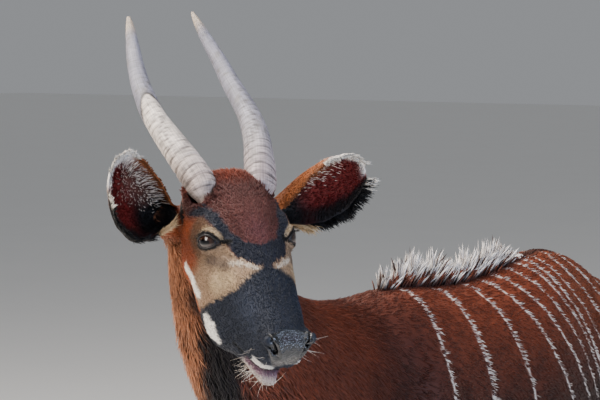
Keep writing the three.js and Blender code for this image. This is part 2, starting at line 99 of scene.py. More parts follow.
# The head's own frame: X to the animal's right, Y down the face, Z out of the forehead.
RIGHT = np.array([-math.cos(HEAD_TURN), -math.sin(HEAD_TURN), 0.0])
AHEAD = np.array([math.sin(HEAD_TURN), -math.cos(HEAD_TURN), 0.0])
FACE = AHEAD * math.cos(HEAD_PITCH) - np.array([0, 0, math.sin(HEAD_PITCH)])
BROW = AHEAD * math.sin(HEAD_PITCH) + np.array([0, 0, math.cos(HEAD_PITCH)])
HEAD_AXES = np.stack([RIGHT, FACE, BROW])
HEAD = (middle_of("eye_right") + middle_of("eye_left")) / 2
HEAD = HEAD - (FACE * EYE_PLACE[1] + BROW * EYE_PLACE[2]) * MM
ORIGIN = HEAD - HEAD_PLACE * MM


def world(p):
    """Places in the CAD's design millimetres, in metres in the row frame."""
    return ORIGIN + np.asarray(p, float) * MM


def design(p):
    """Places in the row frame, in the CAD's design millimetres."""
    return (np.asarray(p, float) - ORIGIN) / MM


def from_head(p):
    """Places in the head's frame in millimetres, in metres in the row frame."""
    return HEAD + np.asarray(p, float) @ HEAD_AXES * MM


def to_head(p):
    """Places in the row frame, in the head's frame in millimetres."""
    return (np.asarray(p, float) - HEAD) @ HEAD_AXES.T / MM


def level(side, back, up):
    """A level direction, as sideways, backwards and upwards, in the head's frame."""
    c, s = math.cos(HEAD_PITCH), math.sin(HEAD_PITCH)
    return np.array([side, -back * c - up * s, -back * s + up * c])


def step(x, low, high):
    """A smooth step from 0 at low to 1 at high."""
    t = np.clip((np.asarray(x, float) - low) / (high - low), 0, 1)
    return t * t * (3 - 2 * t)


def bend_at(y):
    """How far the bend of the spine carries a place to the left, in millimetres."""
    return HIP_SHIFT * step(y, -60, 420)


def linear(code):
    """An sRGB hex colour as linear red, green and blue."""
    c = np.array([int(code[i : i + 2], 16) for i in (1, 3, 5)]) / 255
    return np.where(c <= 0.04045, c / 12.92, ((c + 0.055) / 1.055) ** 2.4)


def smooth_row(table, at):
    """A table's row at places counted in rows, on smooth curves through its rows."""
    first = np.clip(np.floor(at).astype(int), 0, len(table) - 2)
    f = (at - first)[:, None]
    a, b, c, d = (table[np.clip(first + k, 0, len(table) - 1)] for k in (-1, 0, 1, 2))
    return 0.5 * (2 * b + (c - a) * f + (2 * a - 5 * b + 4 * c - d) * f**2 + (3 * b - a - 3 * c + d) * f**3)


def around(count):
    """Angles evenly round a circle."""
    return np.linspace(0, 2 * math.pi, count + 1)[:-1]


def length_property(name, description, metres):
    """A length in the sidebar."""
    return FloatProperty(name=name, description=description, default=metres, unit="LENGTH")


def count_property(name, description, count):
    """A number of tufts in the sidebar."""
    return IntProperty(name=name, description=description, default=count, min=100)


def colour_property(name, description, code):
    """A colour in the sidebar, with its default from an sRGB hex value."""
    return FloatVectorProperty(
        name=name, description=description, subtype="COLOR", size=3, min=0, max=1, default=tuple(linear(code))
    )


class BongoCoat(bpy.types.PropertyGroup):
    """Sizes of the coat and the long hair."""

    body_hair: length_property("Body hair", "Length of the coat on the trunk", 0.018)
    neck_hair: length_property("Neck hair", "Length of the coat on the neck", 0.028)
    face_hair: length_property("Face hair", "Length of the coat on the face", 0.0072)
    leg_hair: length_property("Leg hair", "Length of the coat on the legs", 0.013)
    mane_height: length_property("Mane", "Height of the crest mane", 0.078)
    tuft_length: length_property("Tail tuft", "Length of the tail's tuft", 0.165)
    fringe_length: length_property("Ear fringe", "Length of the ear's fringe", 0.024)
    whisker_length: length_property("Whiskers", "Length of the chin whiskers", 0.042)
    body_tufts: count_property("Body tufts", "Tufts on the trunk", 37500)
    neck_tufts: count_property("Neck tufts", "Tufts on the neck", 26000)
    head_tufts: count_property("Head tufts", "Tufts on the head", 38000)
    leg_tufts: count_property("Leg tufts", "Tufts on the four legs and tail", 17500)
    ear_tufts: count_property("Ear tufts", "Tufts on each ear", 6500)


class BongoColours(bpy.types.PropertyGroup):
    """Colours of the coat, the horns and the hooves."""

    chestnut: colour_property("Chestnut", "Coat of the upper body", "#8f5034")
    # The low coat colour is partly the coat's own darker underside and partly painted shade.
    deep_chestnut_and_shade: colour_property("Deep chestnut", "Coat low on the body", "#301711")
    orange: colour_property("Orange", "Sides of the neck and backs of the ears", "#b7896a")
    maroon: colour_property("Maroon", "Forehead", "#69403b")
    # Slate is near-black with a blue cast that is a painted reflection of the sky.
    slate: colour_property("Slate", "Muzzle and the bands of the face", "#1c2a3e")
    tan: colour_property("Tan", "Cheeks and brows", "#c2a888")
    white: colour_property("White", "Stripes and marks", "#f3efe9")
    black: colour_property("Black", "Throat, ear margins and tail tuft", "#100f12")
    ivory: colour_property("Ivory", "Worn horn", "#e9e0d8")
    horn_grey: colour_property("Horn grey", "Weathered horn", "#8b8784")
    hoof: colour_property("Hoof", "Hooves and dewclaws", "#2b2523")


def coat():
    """The coat's sizes."""
    return bpy.context.scene.bongo_coat


def hue(name):
    """A colour of the sidebar by its name, or an sRGB hex value, as linear red, green and blue."""
    if name.startswith("#"):
        return linear(name)
    return np.array(getattr(bpy.context.scene.bongo_colours, name))


def shades(name, depth):
    """One colour at each of many depths."""
    return hue(name) * np.asarray(depth)[:, None]


def mesh_from(name, points, faces):
    """A mesh from an array of places and an array of triangles or quads."""
    mesh = bpy.data.meshes.new(name)
    count, sides = faces.shape
    mesh.vertices.add(len(points))
    mesh.vertices.foreach_set("co", np.ascontiguousarray(points, np.float32).ravel())
    mesh.loops.add(count * sides)
    mesh.loops.foreach_set("vertex_index", np.ascontiguousarray(faces, np.int32).ravel())
    mesh.polygons.add(count)
    mesh.polygons.foreach_set("loop_start", np.arange(0, count * sides, sides, dtype=np.int32))
    mesh.polygons.foreach_set("use_smooth", np.ones(count, bool))
    mesh.update(calc_edges=True)
    return mesh


def object_from(name, mesh, *materials):
    """An object that holds a mesh, at the origin."""
    made = bpy.data.objects.new(name, mesh)
    bpy.context.scene.collection.objects.link(made)
    for material in materials:
        mesh.materials.append(material)
    return made


def piece(name, points, faces, material, tint=None, replaces=()):
    """A finished piece that rides on the body."""
    mesh = mesh_from(name, points, faces)
    if tint is not None:
        set_tint(mesh, tint)
    made = object_from(name, mesh, material)
    return finish_piece(made, replaces)


def finish_piece(made, replaces=()):
    """Sets what a piece rides on, and hides the CAD nodes that it stands for."""
    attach(made, "root")
    if replaces:
        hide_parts(*replaces)
    return made


def set_tint(mesh, tint):
    """Stores one colour per point."""
    rgba = np.ones((len(tint), 4), np.float32)
    rgba[:, :3] = tint
    mesh.attributes.new("tint", "FLOAT_COLOR", "POINT").data.foreach_set("color", rgba.ravel())


def set_value(mesh, name, values):
    """Stores one number per point."""
    mesh.attributes.new(name, "FLOAT", "POINT").data.foreach_set("value", np.asarray(values, np.float32))


def set_uv(mesh, name, uv, corners):
    """Stores one place on a flat map per point, for each corner that uses it."""
    layer = mesh.uv_layers.new(name=name)
    layer.data.foreach_set("uv", np.asarray(uv)[corners].astype(np.float32).ravel())


def arrays_of(mesh):
    """The places and the corners of a mesh whose faces have equal counts of sides."""
    points = np.empty(len(mesh.vertices) * 3, np.float32)
    mesh.vertices.foreach_get("co", points)
    corners = np.empty(len(mesh.loops), np.int32)
    mesh.loops.foreach_get("vertex_index", corners)
    sides = len(mesh.loops) // max(len(mesh.polygons), 1)
    return points.reshape(-1, 3).astype(float), corners.reshape(-1, sides)


def face_normals(points, faces):
    """Normals of faces, as long as twice their area."""
    a, b, c = points[faces[:, 0]], points[faces[:, 1]], points[faces[:, 2]]
    if faces.shape[1] == 4:
        return np.cross(c - a, points[faces[:, 3]] - b)
    return np.cross(b - a, c - a)


def point_normals(points, faces):
    """Smooth normals at the points."""
    normals = face_normals(points, faces)
    total = np.zeros_like(points)
    for k in range(faces.shape[1]):
        for axis in range(3):
            total[:, axis] += np.bincount(faces[:, k], normals[:, axis], len(points))
    return unit(total)


def edges_of(faces):
    """Each edge once, as two columns of point numbers."""
    pairs = np.concatenate([faces[:, [k, (k + 1) % faces.shape[1]]] for k in range(faces.shape[1])])
    return np.unique(np.sort(pairs, axis=1), axis=0)


def relaxed(points, faces, rounds, weight=None):
    """Taubin smoothing, which rounds off facets and keeps the volume."""
    edges = edges_of(faces)
    a, b = np.concatenate([edges[:, 0], edges[:, 1]]), np.concatenate([edges[:, 1], edges[:, 0]])
    count = np.maximum(np.bincount(a, minlength=len(points)), 1)[:, None]
    points = points.copy()
    share = 1.0 if weight is None else weight[:, None]
    for _ in range(rounds):
        for pull in (0.5, -0.53):
            mean = np.stack([np.bincount(a, points[b, k], len(points)) for k in range(3)], 1) / count
            points += pull * share * (mean - points)
    return points


def largest_part(points, faces):
    """Only the largest connected surface."""
    label = np.arange(len(points))
    edges = edges_of(faces)
    while True:
        low = np.minimum(label[edges[:, 0]], label[edges[:, 1]])
        fresh = label.copy()
        np.minimum.at(fresh, edges[:, 0], low)
        np.minimum.at(fresh, edges[:, 1], low)
        fresh = fresh[fresh]
        if (fresh == label).all():
            break
        label = fresh
    main = np.bincount(label).argmax()
    return kept(points, faces, label == main)


def kept(points, faces, keep):
    """The part of a mesh whose points are all kept."""
    faces = faces[keep[faces].all(axis=1)]
    used = np.unique(faces)
    number = np.full(len(points), -1)
    number[used] = np.arange(len(used))
    return points[used], number[faces]


def node_shell(name):
    """A CAD node's surface as a bmesh with its doubles merged."""
    shell = bmesh.new()
    shell.from_mesh(frame["nodes"][name].data)
    bmesh.ops.remove_doubles(shell, verts=shell.verts, dist=1e-5)
    return shell


def baked_mesh(shell, name):
    """A bmesh as a mesh, with the bmesh freed."""
    mesh = bpy.data.meshes.new(name)
    shell.to_mesh(mesh)
    shell.free()
    return mesh


def cut_off(shell, place, normal):
    """Cuts away what lies on the far side of a plane, and closes the cut."""
    parts = shell.verts[:] + shell.edges[:] + shell.faces[:]
    plane = {"plane_co": Vector(place), "plane_no": Vector(normal)}
    bmesh.ops.bisect_plane(shell, geom=parts, clear_outer=True, **plane)
    rim = [e for e in shell.edges if e.is_boundary]
    bmesh.ops.holes_fill(shell, edges=rim, sides=0)
    bmesh.ops.triangulate(shell, faces=shell.faces[:])
    return shell


def fused(shells, voxel):
    """One closed skin over several overlapping or touching shells, as places and quads."""
    whole = bmesh.new()
    for shell in shells:
        part = baked_mesh(shell, "part")
        whole.from_mesh(part)
        bpy.data.meshes.remove(part)
    temporary = object_from("temporary", baked_mesh(whole, "joined"))
    remesh = temporary.modifiers.new("remesh", "REMESH")
    remesh.mode = "VOXEL"
    remesh.voxel_size = voxel
    made = evaluated(temporary)
    points, faces = arrays_of(made)
    bpy.data.meshes.remove(made)
    return largest_part(points, faces)


def evaluated(source):
    """The mesh that an object's modifiers give, and the object removed."""
    graph = bpy.context.evaluated_depsgraph_get()
    graph.update()
    made = bpy.data.meshes.new_from_object(source.evaluated_get(graph), depsgraph=graph)
    data = source.data
    bpy.data.objects.remove(source)
    bpy.data.meshes.remove(data)
    return made


def torso_without_mane():
    """The torso with its mane cut off along the line of the back."""
    shell = node_shell("torso")
    tree = BVHTree.FromBMesh(shell)
    # The cutter's floor is a low roof that stands clear of the back, so the cut leaves the back whole.
    side, ridge, high = 46, 9.5, 180
    outline = [(-side, 0), (0, ridge), (side, 0), (side, high), (-side, high)]
    rows = []
    for y in np.arange(MANE_FRONT_Y - 60, MANE_BACK_Y + 110, 20):
        x = float(bend_at(y))
        heights = []
        for sign in (-1, 1):
            hit = tree.ray_cast(Vector(world([x + sign * side, y, 1400])), Vector((0, 0, -1)))[0]
            heights.append(design(hit)[2])
        z = sum(heights) / 2 + 1.2
        rows.append([[x + across, y, z + up] for across, up in outline])
    strip = bmesh.new()
    verts = [[strip.verts.new(p) for p in ring] for ring in world(rows)]
    for low, top in zip(verts, verts[1:]):
        for k in range(5):
            strip.faces.new([low[k], low[(k + 1) % 5], top[(k + 1) % 5], top[k]])
    strip.faces.new(verts[0])
    strip.faces.new(verts[-1])
    bmesh.ops.recalc_face_normals(strip, faces=strip.faces[:])
    bmesh.ops.triangulate(strip, faces=strip.faces[:])
    body = object_from("torso_copy", baked_mesh(shell, "torso_copy"))
    tool = baked_mesh(strip, "mane_strip")
    cutter = object_from("mane_strip", tool)
    cut = body.modifiers.new("cut", "BOOLEAN")
    cut.operation = "DIFFERENCE"
    cut.solver = "EXACT"
    cut.object = cutter
    result = evaluated(body)
    bpy.data.objects.remove(cutter)
    bpy.data.meshes.remove(tool)
    shell = bmesh.new()
    shell.from_mesh(result)
    bpy.data.meshes.remove(result)
    return shell


# Skin

BODY_VOXEL = 6.6 * MM
HEAD_VOXEL = 2.5 * MM
HEAD_SEAM = np.array([-53.0, -838.0, 1140.0])
NECK_AXIS = unit([0.0, -0.36, 0.93])


def body_skin():
    """Trunk, neck, legs and tail as one smooth surface, inside the solids by the coat's depth."""
    shells = [torso_without_mane()]
    for name in BODY_NODES:
        if name == "tail":
            shells.append(cut_off(node_shell(name), world([0, 0, 655]), (0, 0, -1)))
        elif name != "torso":
            shells.append(node_shell(name))
    points, faces = fused(shells, BODY_VOXEL)
    place = design(points)
    smooth = 0.35 + 0.65 * step(place[:, 2], 380, 640)
    points = relaxed(points, faces, 60, smooth)
    normals = point_normals(points, faces)
    place = design(points)
    depth = 1.0 + 3.0 * step(place[:, 2], 500, 760)
    above = (place - HEAD_SEAM) @ NECK_AXIS
    depth += 7 * step(above, 30, 60)
    points -= normals * depth[:, None] * MM
    return points, faces


def head_skin():
    """Head and ear stubs with the top of the neck, smoothed, with the folds of the face set in it."""
    neck = cut_off(node_shell("neck"), world(HEAD_SEAM), -NECK_AXIS)
    shells = [node_shell("head"), node_shell("eye_left"), node_shell("eye_right"), neck]
    points, faces = fused(shells, HEAD_VOXEL)
    points = relaxed(points, faces, 22)
    points = points - point_normals(points, faces) * 1.4 * MM
    above = (design(points) - HEAD_SEAM) @ NECK_AXIS
    low = 1 - step(above, 4, 40)
    points -= point_normals(points, faces) * (low * 9 * MM)[:, None]
    points, faces = kept(points, faces, above > 1.5)
    place = sculpted(to_head(points), point_normals(points, faces) @ HEAD_AXES.T)
    return from_head(place), faces


def eye_axes(side):
    """The eye's middle, the way it looks, its long axis towards the nose and its short axis upwards."""
    middle = EYE_PLACE * np.array([side, 1, 1])
    look = unit([side * 0.87, 0.35, 0.35])
    along = level(0, -1, 0)
    along = unit(along - look * (along @ look))
    short = np.cross(look, along) * side
    short = short if short @ level(0, 0, 1) > 0 else -short
    return middle, look, along, short


# The ball's radius and the half length and half height of the lids' opening, in millimetres.
BALL = 24.2
EYE_LONG = 22.2
EYE_HIGH = 13.2


def lid_edge(a, upper):
    """Half height of the almond opening at a place along it."""
    round_ = np.clip(1 - np.abs(a / EYE_LONG) ** 2.1, 0, 1) ** 0.8
    return round_ * EYE_HIGH * np.where(upper, 1.0, 0.78)


def seen_from_eye(p, side):
    """Places on one eye's ball: along and across its opening, ahead, distance, and past the lids' edge."""
    middle, look, along, short = eye_axes(side)
    q = p - middle
    r = np.linalg.norm(q, axis=1)
    scale = BALL / np.maximum(r, 1)
    a, b = q @ along * scale, q @ short * scale
    corner = np.hypot(np.abs(a) - EYE_LONG, b)
    edge = np.where(np.abs(a) < EYE_LONG, np.abs(b) - lid_edge(a, b > 0), corner)
    return a, b, q @ look, r, edge


def near_line(p, line):
    """Distance of each place from a line of points, and the share of the line's length there."""
    best = np.full(len(p), 1e9)
    share = np.zeros(len(p))
    line = np.asarray(line, float)
    spans = np.linalg.norm(np.diff(line, axis=0), axis=1)
    total = spans.sum()
    done = 0.0
    for a, b, span in zip(line, line[1:], spans):
        t = np.clip(((p - a) @ (b - a)) / max(span**2, 1e-9), 0, 1)
        d = np.linalg.norm(p - (a + t[:, None] * (b - a)), axis=1)
        closer = d < best
        best[closer] = d[closer]
        share[closer] = ((done + t * span) / total)[closer]
        done += span
    return best, share


# Lines of the right side of the head, in millimetres of its own frame.
NOSTRIL = [[22, 366, -32], [29, 362, -22], [36, 356, -13], [43, 346, -9]]
TEAR_DUCT = [[74, 140, 3], [64, 154, 3], [56, 172, 0]]
MOUTH_BACK = (296, -84)  # how far down the face and how far out the line of the mouth starts
MOUTH_FRONT = (378, -70)
MOUTH_SLOPE = (MOUTH_FRONT[1] - MOUTH_BACK[1]) / (MOUTH_FRONT[0] - MOUTH_BACK[0])
HORN_FOOT = np.array([53, 46, -19.0])  # the deepest end of the buried foot of the horn
HORN_RIM = np.array([66, -17, 0.0])  # its middle where it leaves the skin

# Ridges and hollows: the line of each, its width and its height.
FOLDS = [
    ([[70, 140, 2], [62, 156, -1], [55, 172, -4]], 4, -2.2),  # tear duct
    ([[84, 76, -8], [74, 92, 10], [62, 118, 16], [50, 142, 16]], 9, 3.0),  # ridge of the brow
    ([[88, 60, -45], [86, 40, -60]], 16, -3.0),  # hollow of the temple
    ([[90, 100, -62], [86, 150, -58], [72, 196, -48]], 11, 2.2),  # cheekbone
    ([[66, 190, -28], [58, 250, -30]], 16, -2.0),  # hollow in front of it
]


def mouth_height(p):
    """Height above the line of the mouth, in the head's frame."""
    return p[:, 2] - (MOUTH_BACK[1] + (p[:, 1] - MOUTH_BACK[0]) * MOUTH_SLOPE)


def collar(p):
    """The push that lifts the skin clear of the buried foot of each horn."""
    push = np.zeros_like(p)
    for side in (1, -1):
        a, b = HORN_FOOT * [side, 1, 1], HORN_RIM * [side, 1, 1]
        share = np.clip(((p - a) @ (b - a)) / ((b - a) @ (b - a)), 0, 1)[:, None]
        away = p - (a + share * (b - a))
        d = np.linalg.norm(away, axis=1)
        reach = np.interp(share[:, 0], [0, 0.45, 1], [18, 29, 35])
        lift = reach + 2.2 * np.log1p(np.exp((d - reach) / 2.2)) - d
        # Only skin on the outer side of the horn moves.
        outer = step(p[:, 2], -30, -12) * step(away[:, 2] / np.maximum(d, 1), -0.3, 0.4)
        lift = np.where(d > 10, lift, 0) * outer
        push += away / np.maximum(d, 1)[:, None] * lift[:, None]
    return push


def sculpted(p, normal):
    """The folds of the face: lids, tear ducts, brows, cheeks, nostrils, lips and chin."""
    p = p.copy()
    mirrored = np.abs(p[:, 0:1]) * [[1, 0, 0]] + p * [[0, 1, 1]]
    out = np.zeros(len(p))
    # Jaw fuller from its angle to the corner of the mouth.
    jaw = np.exp(-(((p[:, 1] - 185) / 105) ** 4)) * step(-p[:, 2], 45, 115)
    lips = np.exp(-(((p[:, 1] - 258) / 46) ** 2)) * step(-p[:, 2], 30, 110)
    p[:, 0] *= 1 + 0.13 * jaw + 0.15 * lips
    p[:, 2] -= 3 * jaw + 4 * lips
    # Skin and hair rise round the foot of each horn.
    p = p + collar(p) * step(p[:, 1], -22, -2)[:, None]
    for line, width, height in FOLDS:
        d, _ = near_line(mirrored, line)
        out += height * np.exp(-((d / width) ** 2))
    # Muzzle a little narrower above the nostrils.
    narrow = np.exp(-(((p[:, 1] - 318) / 34) ** 2)) * step(np.abs(p[:, 0]), 24, 46)
    out -= 2.5 * narrow * step(p[:, 2], -60, -30)
    # Nostrils with their rims.
    d, share = near_line(mirrored, NOSTRIL)
    hole = np.exp(-((d / (3.4 + 1.6 * share)) ** 4))
    out -= 10.0 * hole * step(p[:, 1], 330, 340)
    out += 2.4 * np.exp(-(((d - 8.5) / 3.6) ** 2)) * step(p[:, 1], 328, 344)
    # Middle groove of the nose pad.
    front = step(p[:, 1], 358, 370)
    out -= 1.6 * front * np.exp(-((p[:, 0] / 2.4) ** 2)) * step(-p[:, 2], 28, 40)
    # Mouth with its two lips.
    m = mouth_height(p)
    along = step(p[:, 1], 292, 304)
    out -= 4.2 * along * np.exp(-((m / 2.4) ** 2))
    out += 1.9 * along * np.exp(-(((m - 7.5) / 4.5) ** 2))
    out += 2.6 * along * step(p[:, 1], 318, 350) * np.exp(-(((m + 7.5) / 5) ** 2))
    p += normal * out[:, None]
    # The lower lip and chin stand a little open and forward.
    hang = step(p[:, 1], 292, 342) * step(-m, -1, 5)
    p += hang[:, None] * [[0, 3, -8]] + (hang * step(p[:, 1], 325, 368))[:, None] * [[0, 17, -2]]
    for side in (1, -1):
        p = lidded(p, side)
    return p


def lidded(p, side):
    """Sets the skin round one eye as lids over the ball with an almond opening."""
    middle = eye_axes(side)[0]
    _, b, ahead, r, edge = seen_from_eye(p, side)
    near = (r < 46) & (ahead > -4)
    inside = BALL - 3.2
    thick = BALL + 0.9 + 2.7 * step(edge, 0, 4.5)
    keep_far = np.maximum(step(edge, 4, 13), 1 - step(ahead, 1, 9))
    over = np.maximum(thick, r)
    # A crease and a roll above the upper lid, and a fainter crease below the lower one.
    crease = -1.3 * np.exp(-(((edge - 8) / 1.8) ** 2))
    roll = 1.4 * np.exp(-(((edge - 12) / 3) ** 2))
    fold = (crease + roll) * (b > 0) - 0.8 * np.exp(-(((edge - 7) / 1.6) ** 2)) * (b < 0)
    fold = fold * (1 - step(r, 30, 44)) * step(ahead, 2, 9)
    target = np.where(edge < -0.4, inside, thick * (1 - keep_far) + over * keep_far + fold)
    moved = np.where(near & (edge < 20), target, r)
    return middle + (p - middle) / np.maximum(r, 1e-6)[:, None] * moved[:, None]


# Markings: one set of functions colours the skin and the coat alike.


def mix(base, name, share):
    """Colours carried towards another, which is named or a hex value, by a share for each place."""
    return base + (hue(name) - base) * np.clip(share, 0, 1)[:, None]


def ripple(p, size, salt=0.0):
    """A smooth uneven value between -1 and 1 that varies over a size in millimetres."""
    total = np.zeros(len(p))
    for k, way in enumerate([(1.0, 0.35, 0.2), (-0.4, 1.1, 0.3), (0.25, -0.45, 1.2), (0.9, 0.8, -0.7)]):
        phase = p @ np.array(way) * 2 * math.pi / size
        total += np.sin(phase * (1 + 0.37 * k) + salt + 1.7 * k)
    return total / 4


# Stripes: y where each starts on the back, how far back it runs for each millimetre downwards.
STRIPES = [
    (-353, -0.2), (-229, -0.06), (-106, 0.05), (-42, 0.5), (20, 0.72), (90, 0.72), (151, 0.7),
    (189, 0.68), (235, 0.75), (296, 0.8), (362, 0.85), (430, 0.9),
]
STRIPE_TOP = 1132  # height that the drop is counted from


def stripe_share(p):
    """How white a place on the flank is."""
    drop = np.maximum(STRIPE_TOP - p[:, 2], 0)
    drop = drop - 0.0006 * drop**2 * (p[:, 1] > -150)
    share = np.zeros(len(p))
    wave = 5 * ripple(p, 330) + 1.6 * ripple(p, 42, 2.0)
    for n, (start, slope) in enumerate(STRIPES):
        line = start + slope * drop + wave
        half = 3.7 + 0.8 * math.sin(n * 2.1)
        share = np.maximum(share, 1 - step(np.abs(p[:, 1] - line), half - 2.2, half + 2.2))
    aside = np.abs(p[:, 0] - bend_at(p[:, 1]))
    low = step(p[:, 2], 600, 690)
    return share * step(aside, 10, 24) * low * (0.84 + 0.14 * ripple(p, 23, 5.0))


def body_colour(p):
    """The coat's colour on trunk, neck, legs and tail, at places in design millimetres."""
    x, y, z = p.T
    n = len(p)
    uneven = ripple(p, 160)
    # Darker towards the bottom of the body: partly the coat's own darker underside and partly painted shade
    # under the body's curve.
    upper = step(z + 26 * uneven, 800, 1115)
    base = mix(shades("deep_chestnut_and_shade", np.ones(n)), "chestnut", 0.12 + 0.88 * upper)
    # Rump and croup are paler than the shoulder.
    base = mix(base, "#a3694a", 0.45 * step(y, 60, 420) * upper)
    shoulder = np.exp(-(((y + 470) / 130) ** 2) - (((z - 1000) / 210) ** 2))
    base = mix(base, "#4a251d", 0.7 * shoulder)
    # Neck: orange on the outer side, darker nape and blue-black throat.
    neck = step(-y, 560, 720)
    base = mix(base, "orange", 0.85 * neck * step(-x - 20, 0, 70) * step(z, 860, 1010))
    base = mix(base, "#7c4a38", 0.6 * neck * step(x, -70, 10))
    front = (y + 0.42 * (z - 1000) + 800) / 60
    off_middle = np.abs(x + 46 - 0.12 * (z - 1000) + 14 * uneven)
    throat = neck * (1 - step(off_middle, 26, 60)) * step(-front, -0.6, 0.8)
    base = mix(base, "#131620", 0.95 * throat * step(z, 860, 980))
    # White crescent on the chest.
    crescent = np.abs(z - (835 + 0.0035 * (x + 12) ** 2)) - 17
    ends = step(-y, 520, 600) * (1 - step(np.abs(x + 12), 96, 120))
    base = mix(base, "white", (1 - step(crescent, -4, 5)) * ends)
    base = mix(base, "white", stripe_share(p) * step(y, -440, -400))
    # Black line along the belly and a dark line down the back.
    belly = 1 - step(z - 0.06 * np.abs(x), 545, 600)
    base = mix(base, "black", 0.85 * belly * step(z, 470, 500) * (np.abs(x) < 120))
    ridge = 1 - step(np.abs(x - bend_at(y)), 8, 26)
    base = mix(base, "#2b130c", 0.7 * ridge * step(z, 1040, 1090) * step(y, -460, -360))
    return leg_colour(p, base)


def leg_colour(p, base):
    """Legs: chestnut above, black in front, with white bands on the inner side and above the hooves."""
    x, y, z = p.T
    hind = y > 60
    centre = np.where(hind, HIP_SHIFT, 0.0)
    inner = step(118 - np.abs(x - centre), -8, 14)
    leg = 1 - step(z, 520, 640)
    front_y = np.where(hind, 520, -415)
    ahead = step(front_y - y, -6, 12)
    base = mix(base, "#6b3420", 0.6 * leg)
    base = mix(base, "black", 0.85 * leg * ahead * step(z, 150, 240))
    thigh = 1 - step(np.abs(z - np.where(hind, 640, 560)), 60, 90)
    base = mix(base, "white", 0.9 * inner * thigh * (z < 720))
    knee = np.where(hind, 440, 392)
    base = mix(base, "white", 0.85 * ahead * (1 - step(np.abs(z - knee + 55), 14, 24)))
    pastern = 1 - step(np.abs(z - 112 + 10 * ripple(p, 60)), 15, 26)
    base = mix(base, "white", 0.92 * pastern * step(ahead + inner, 0.3, 0.9))
    base = mix(base, "black", 0.9 * (1 - step(z, 74, 92)))
    tail = step(y, 622, 640) * step(-z, -1010, -960)
    base = mix(base, "#5c2a1a", tail * (1 - leg))
    return mix(base, "black", step(y, 622, 640) * (1 - step(z, 640, 760)))


def stroke(u, v, line, half, soft=3.0):
    """How much a place on the face lies in a painted stroke. Half widths run along the line."""
    d, share = near_line(np.stack([u, v], 1), line)
    width = np.interp(share, np.linspace(0, 1, len(half)), half)
    return 1 - step(d - width, -soft, soft)


FACE_ROUND = 1.35  # millimetres over the face for each degree round it
# Edges of the marks, as how far down the face they lie against the angle round it, and the other way round.
BAND_UPPER = ([36, 45, 56, 89, 129, 152, 165, 170], [76, 64, 48, 36, 31, 22, 0, -20])
BAND_LOWER = ([36, 60, 80, 122, 150, 180, 196, 206, 216], [78, 63, 51, 45, 41, 36, 20, 8, 0])
MUZZLE_EDGE = ([0, 16, 32, 53, 79, 105, 125, 180], [205, 213, 222, 230, 223, 209, 198, 190])


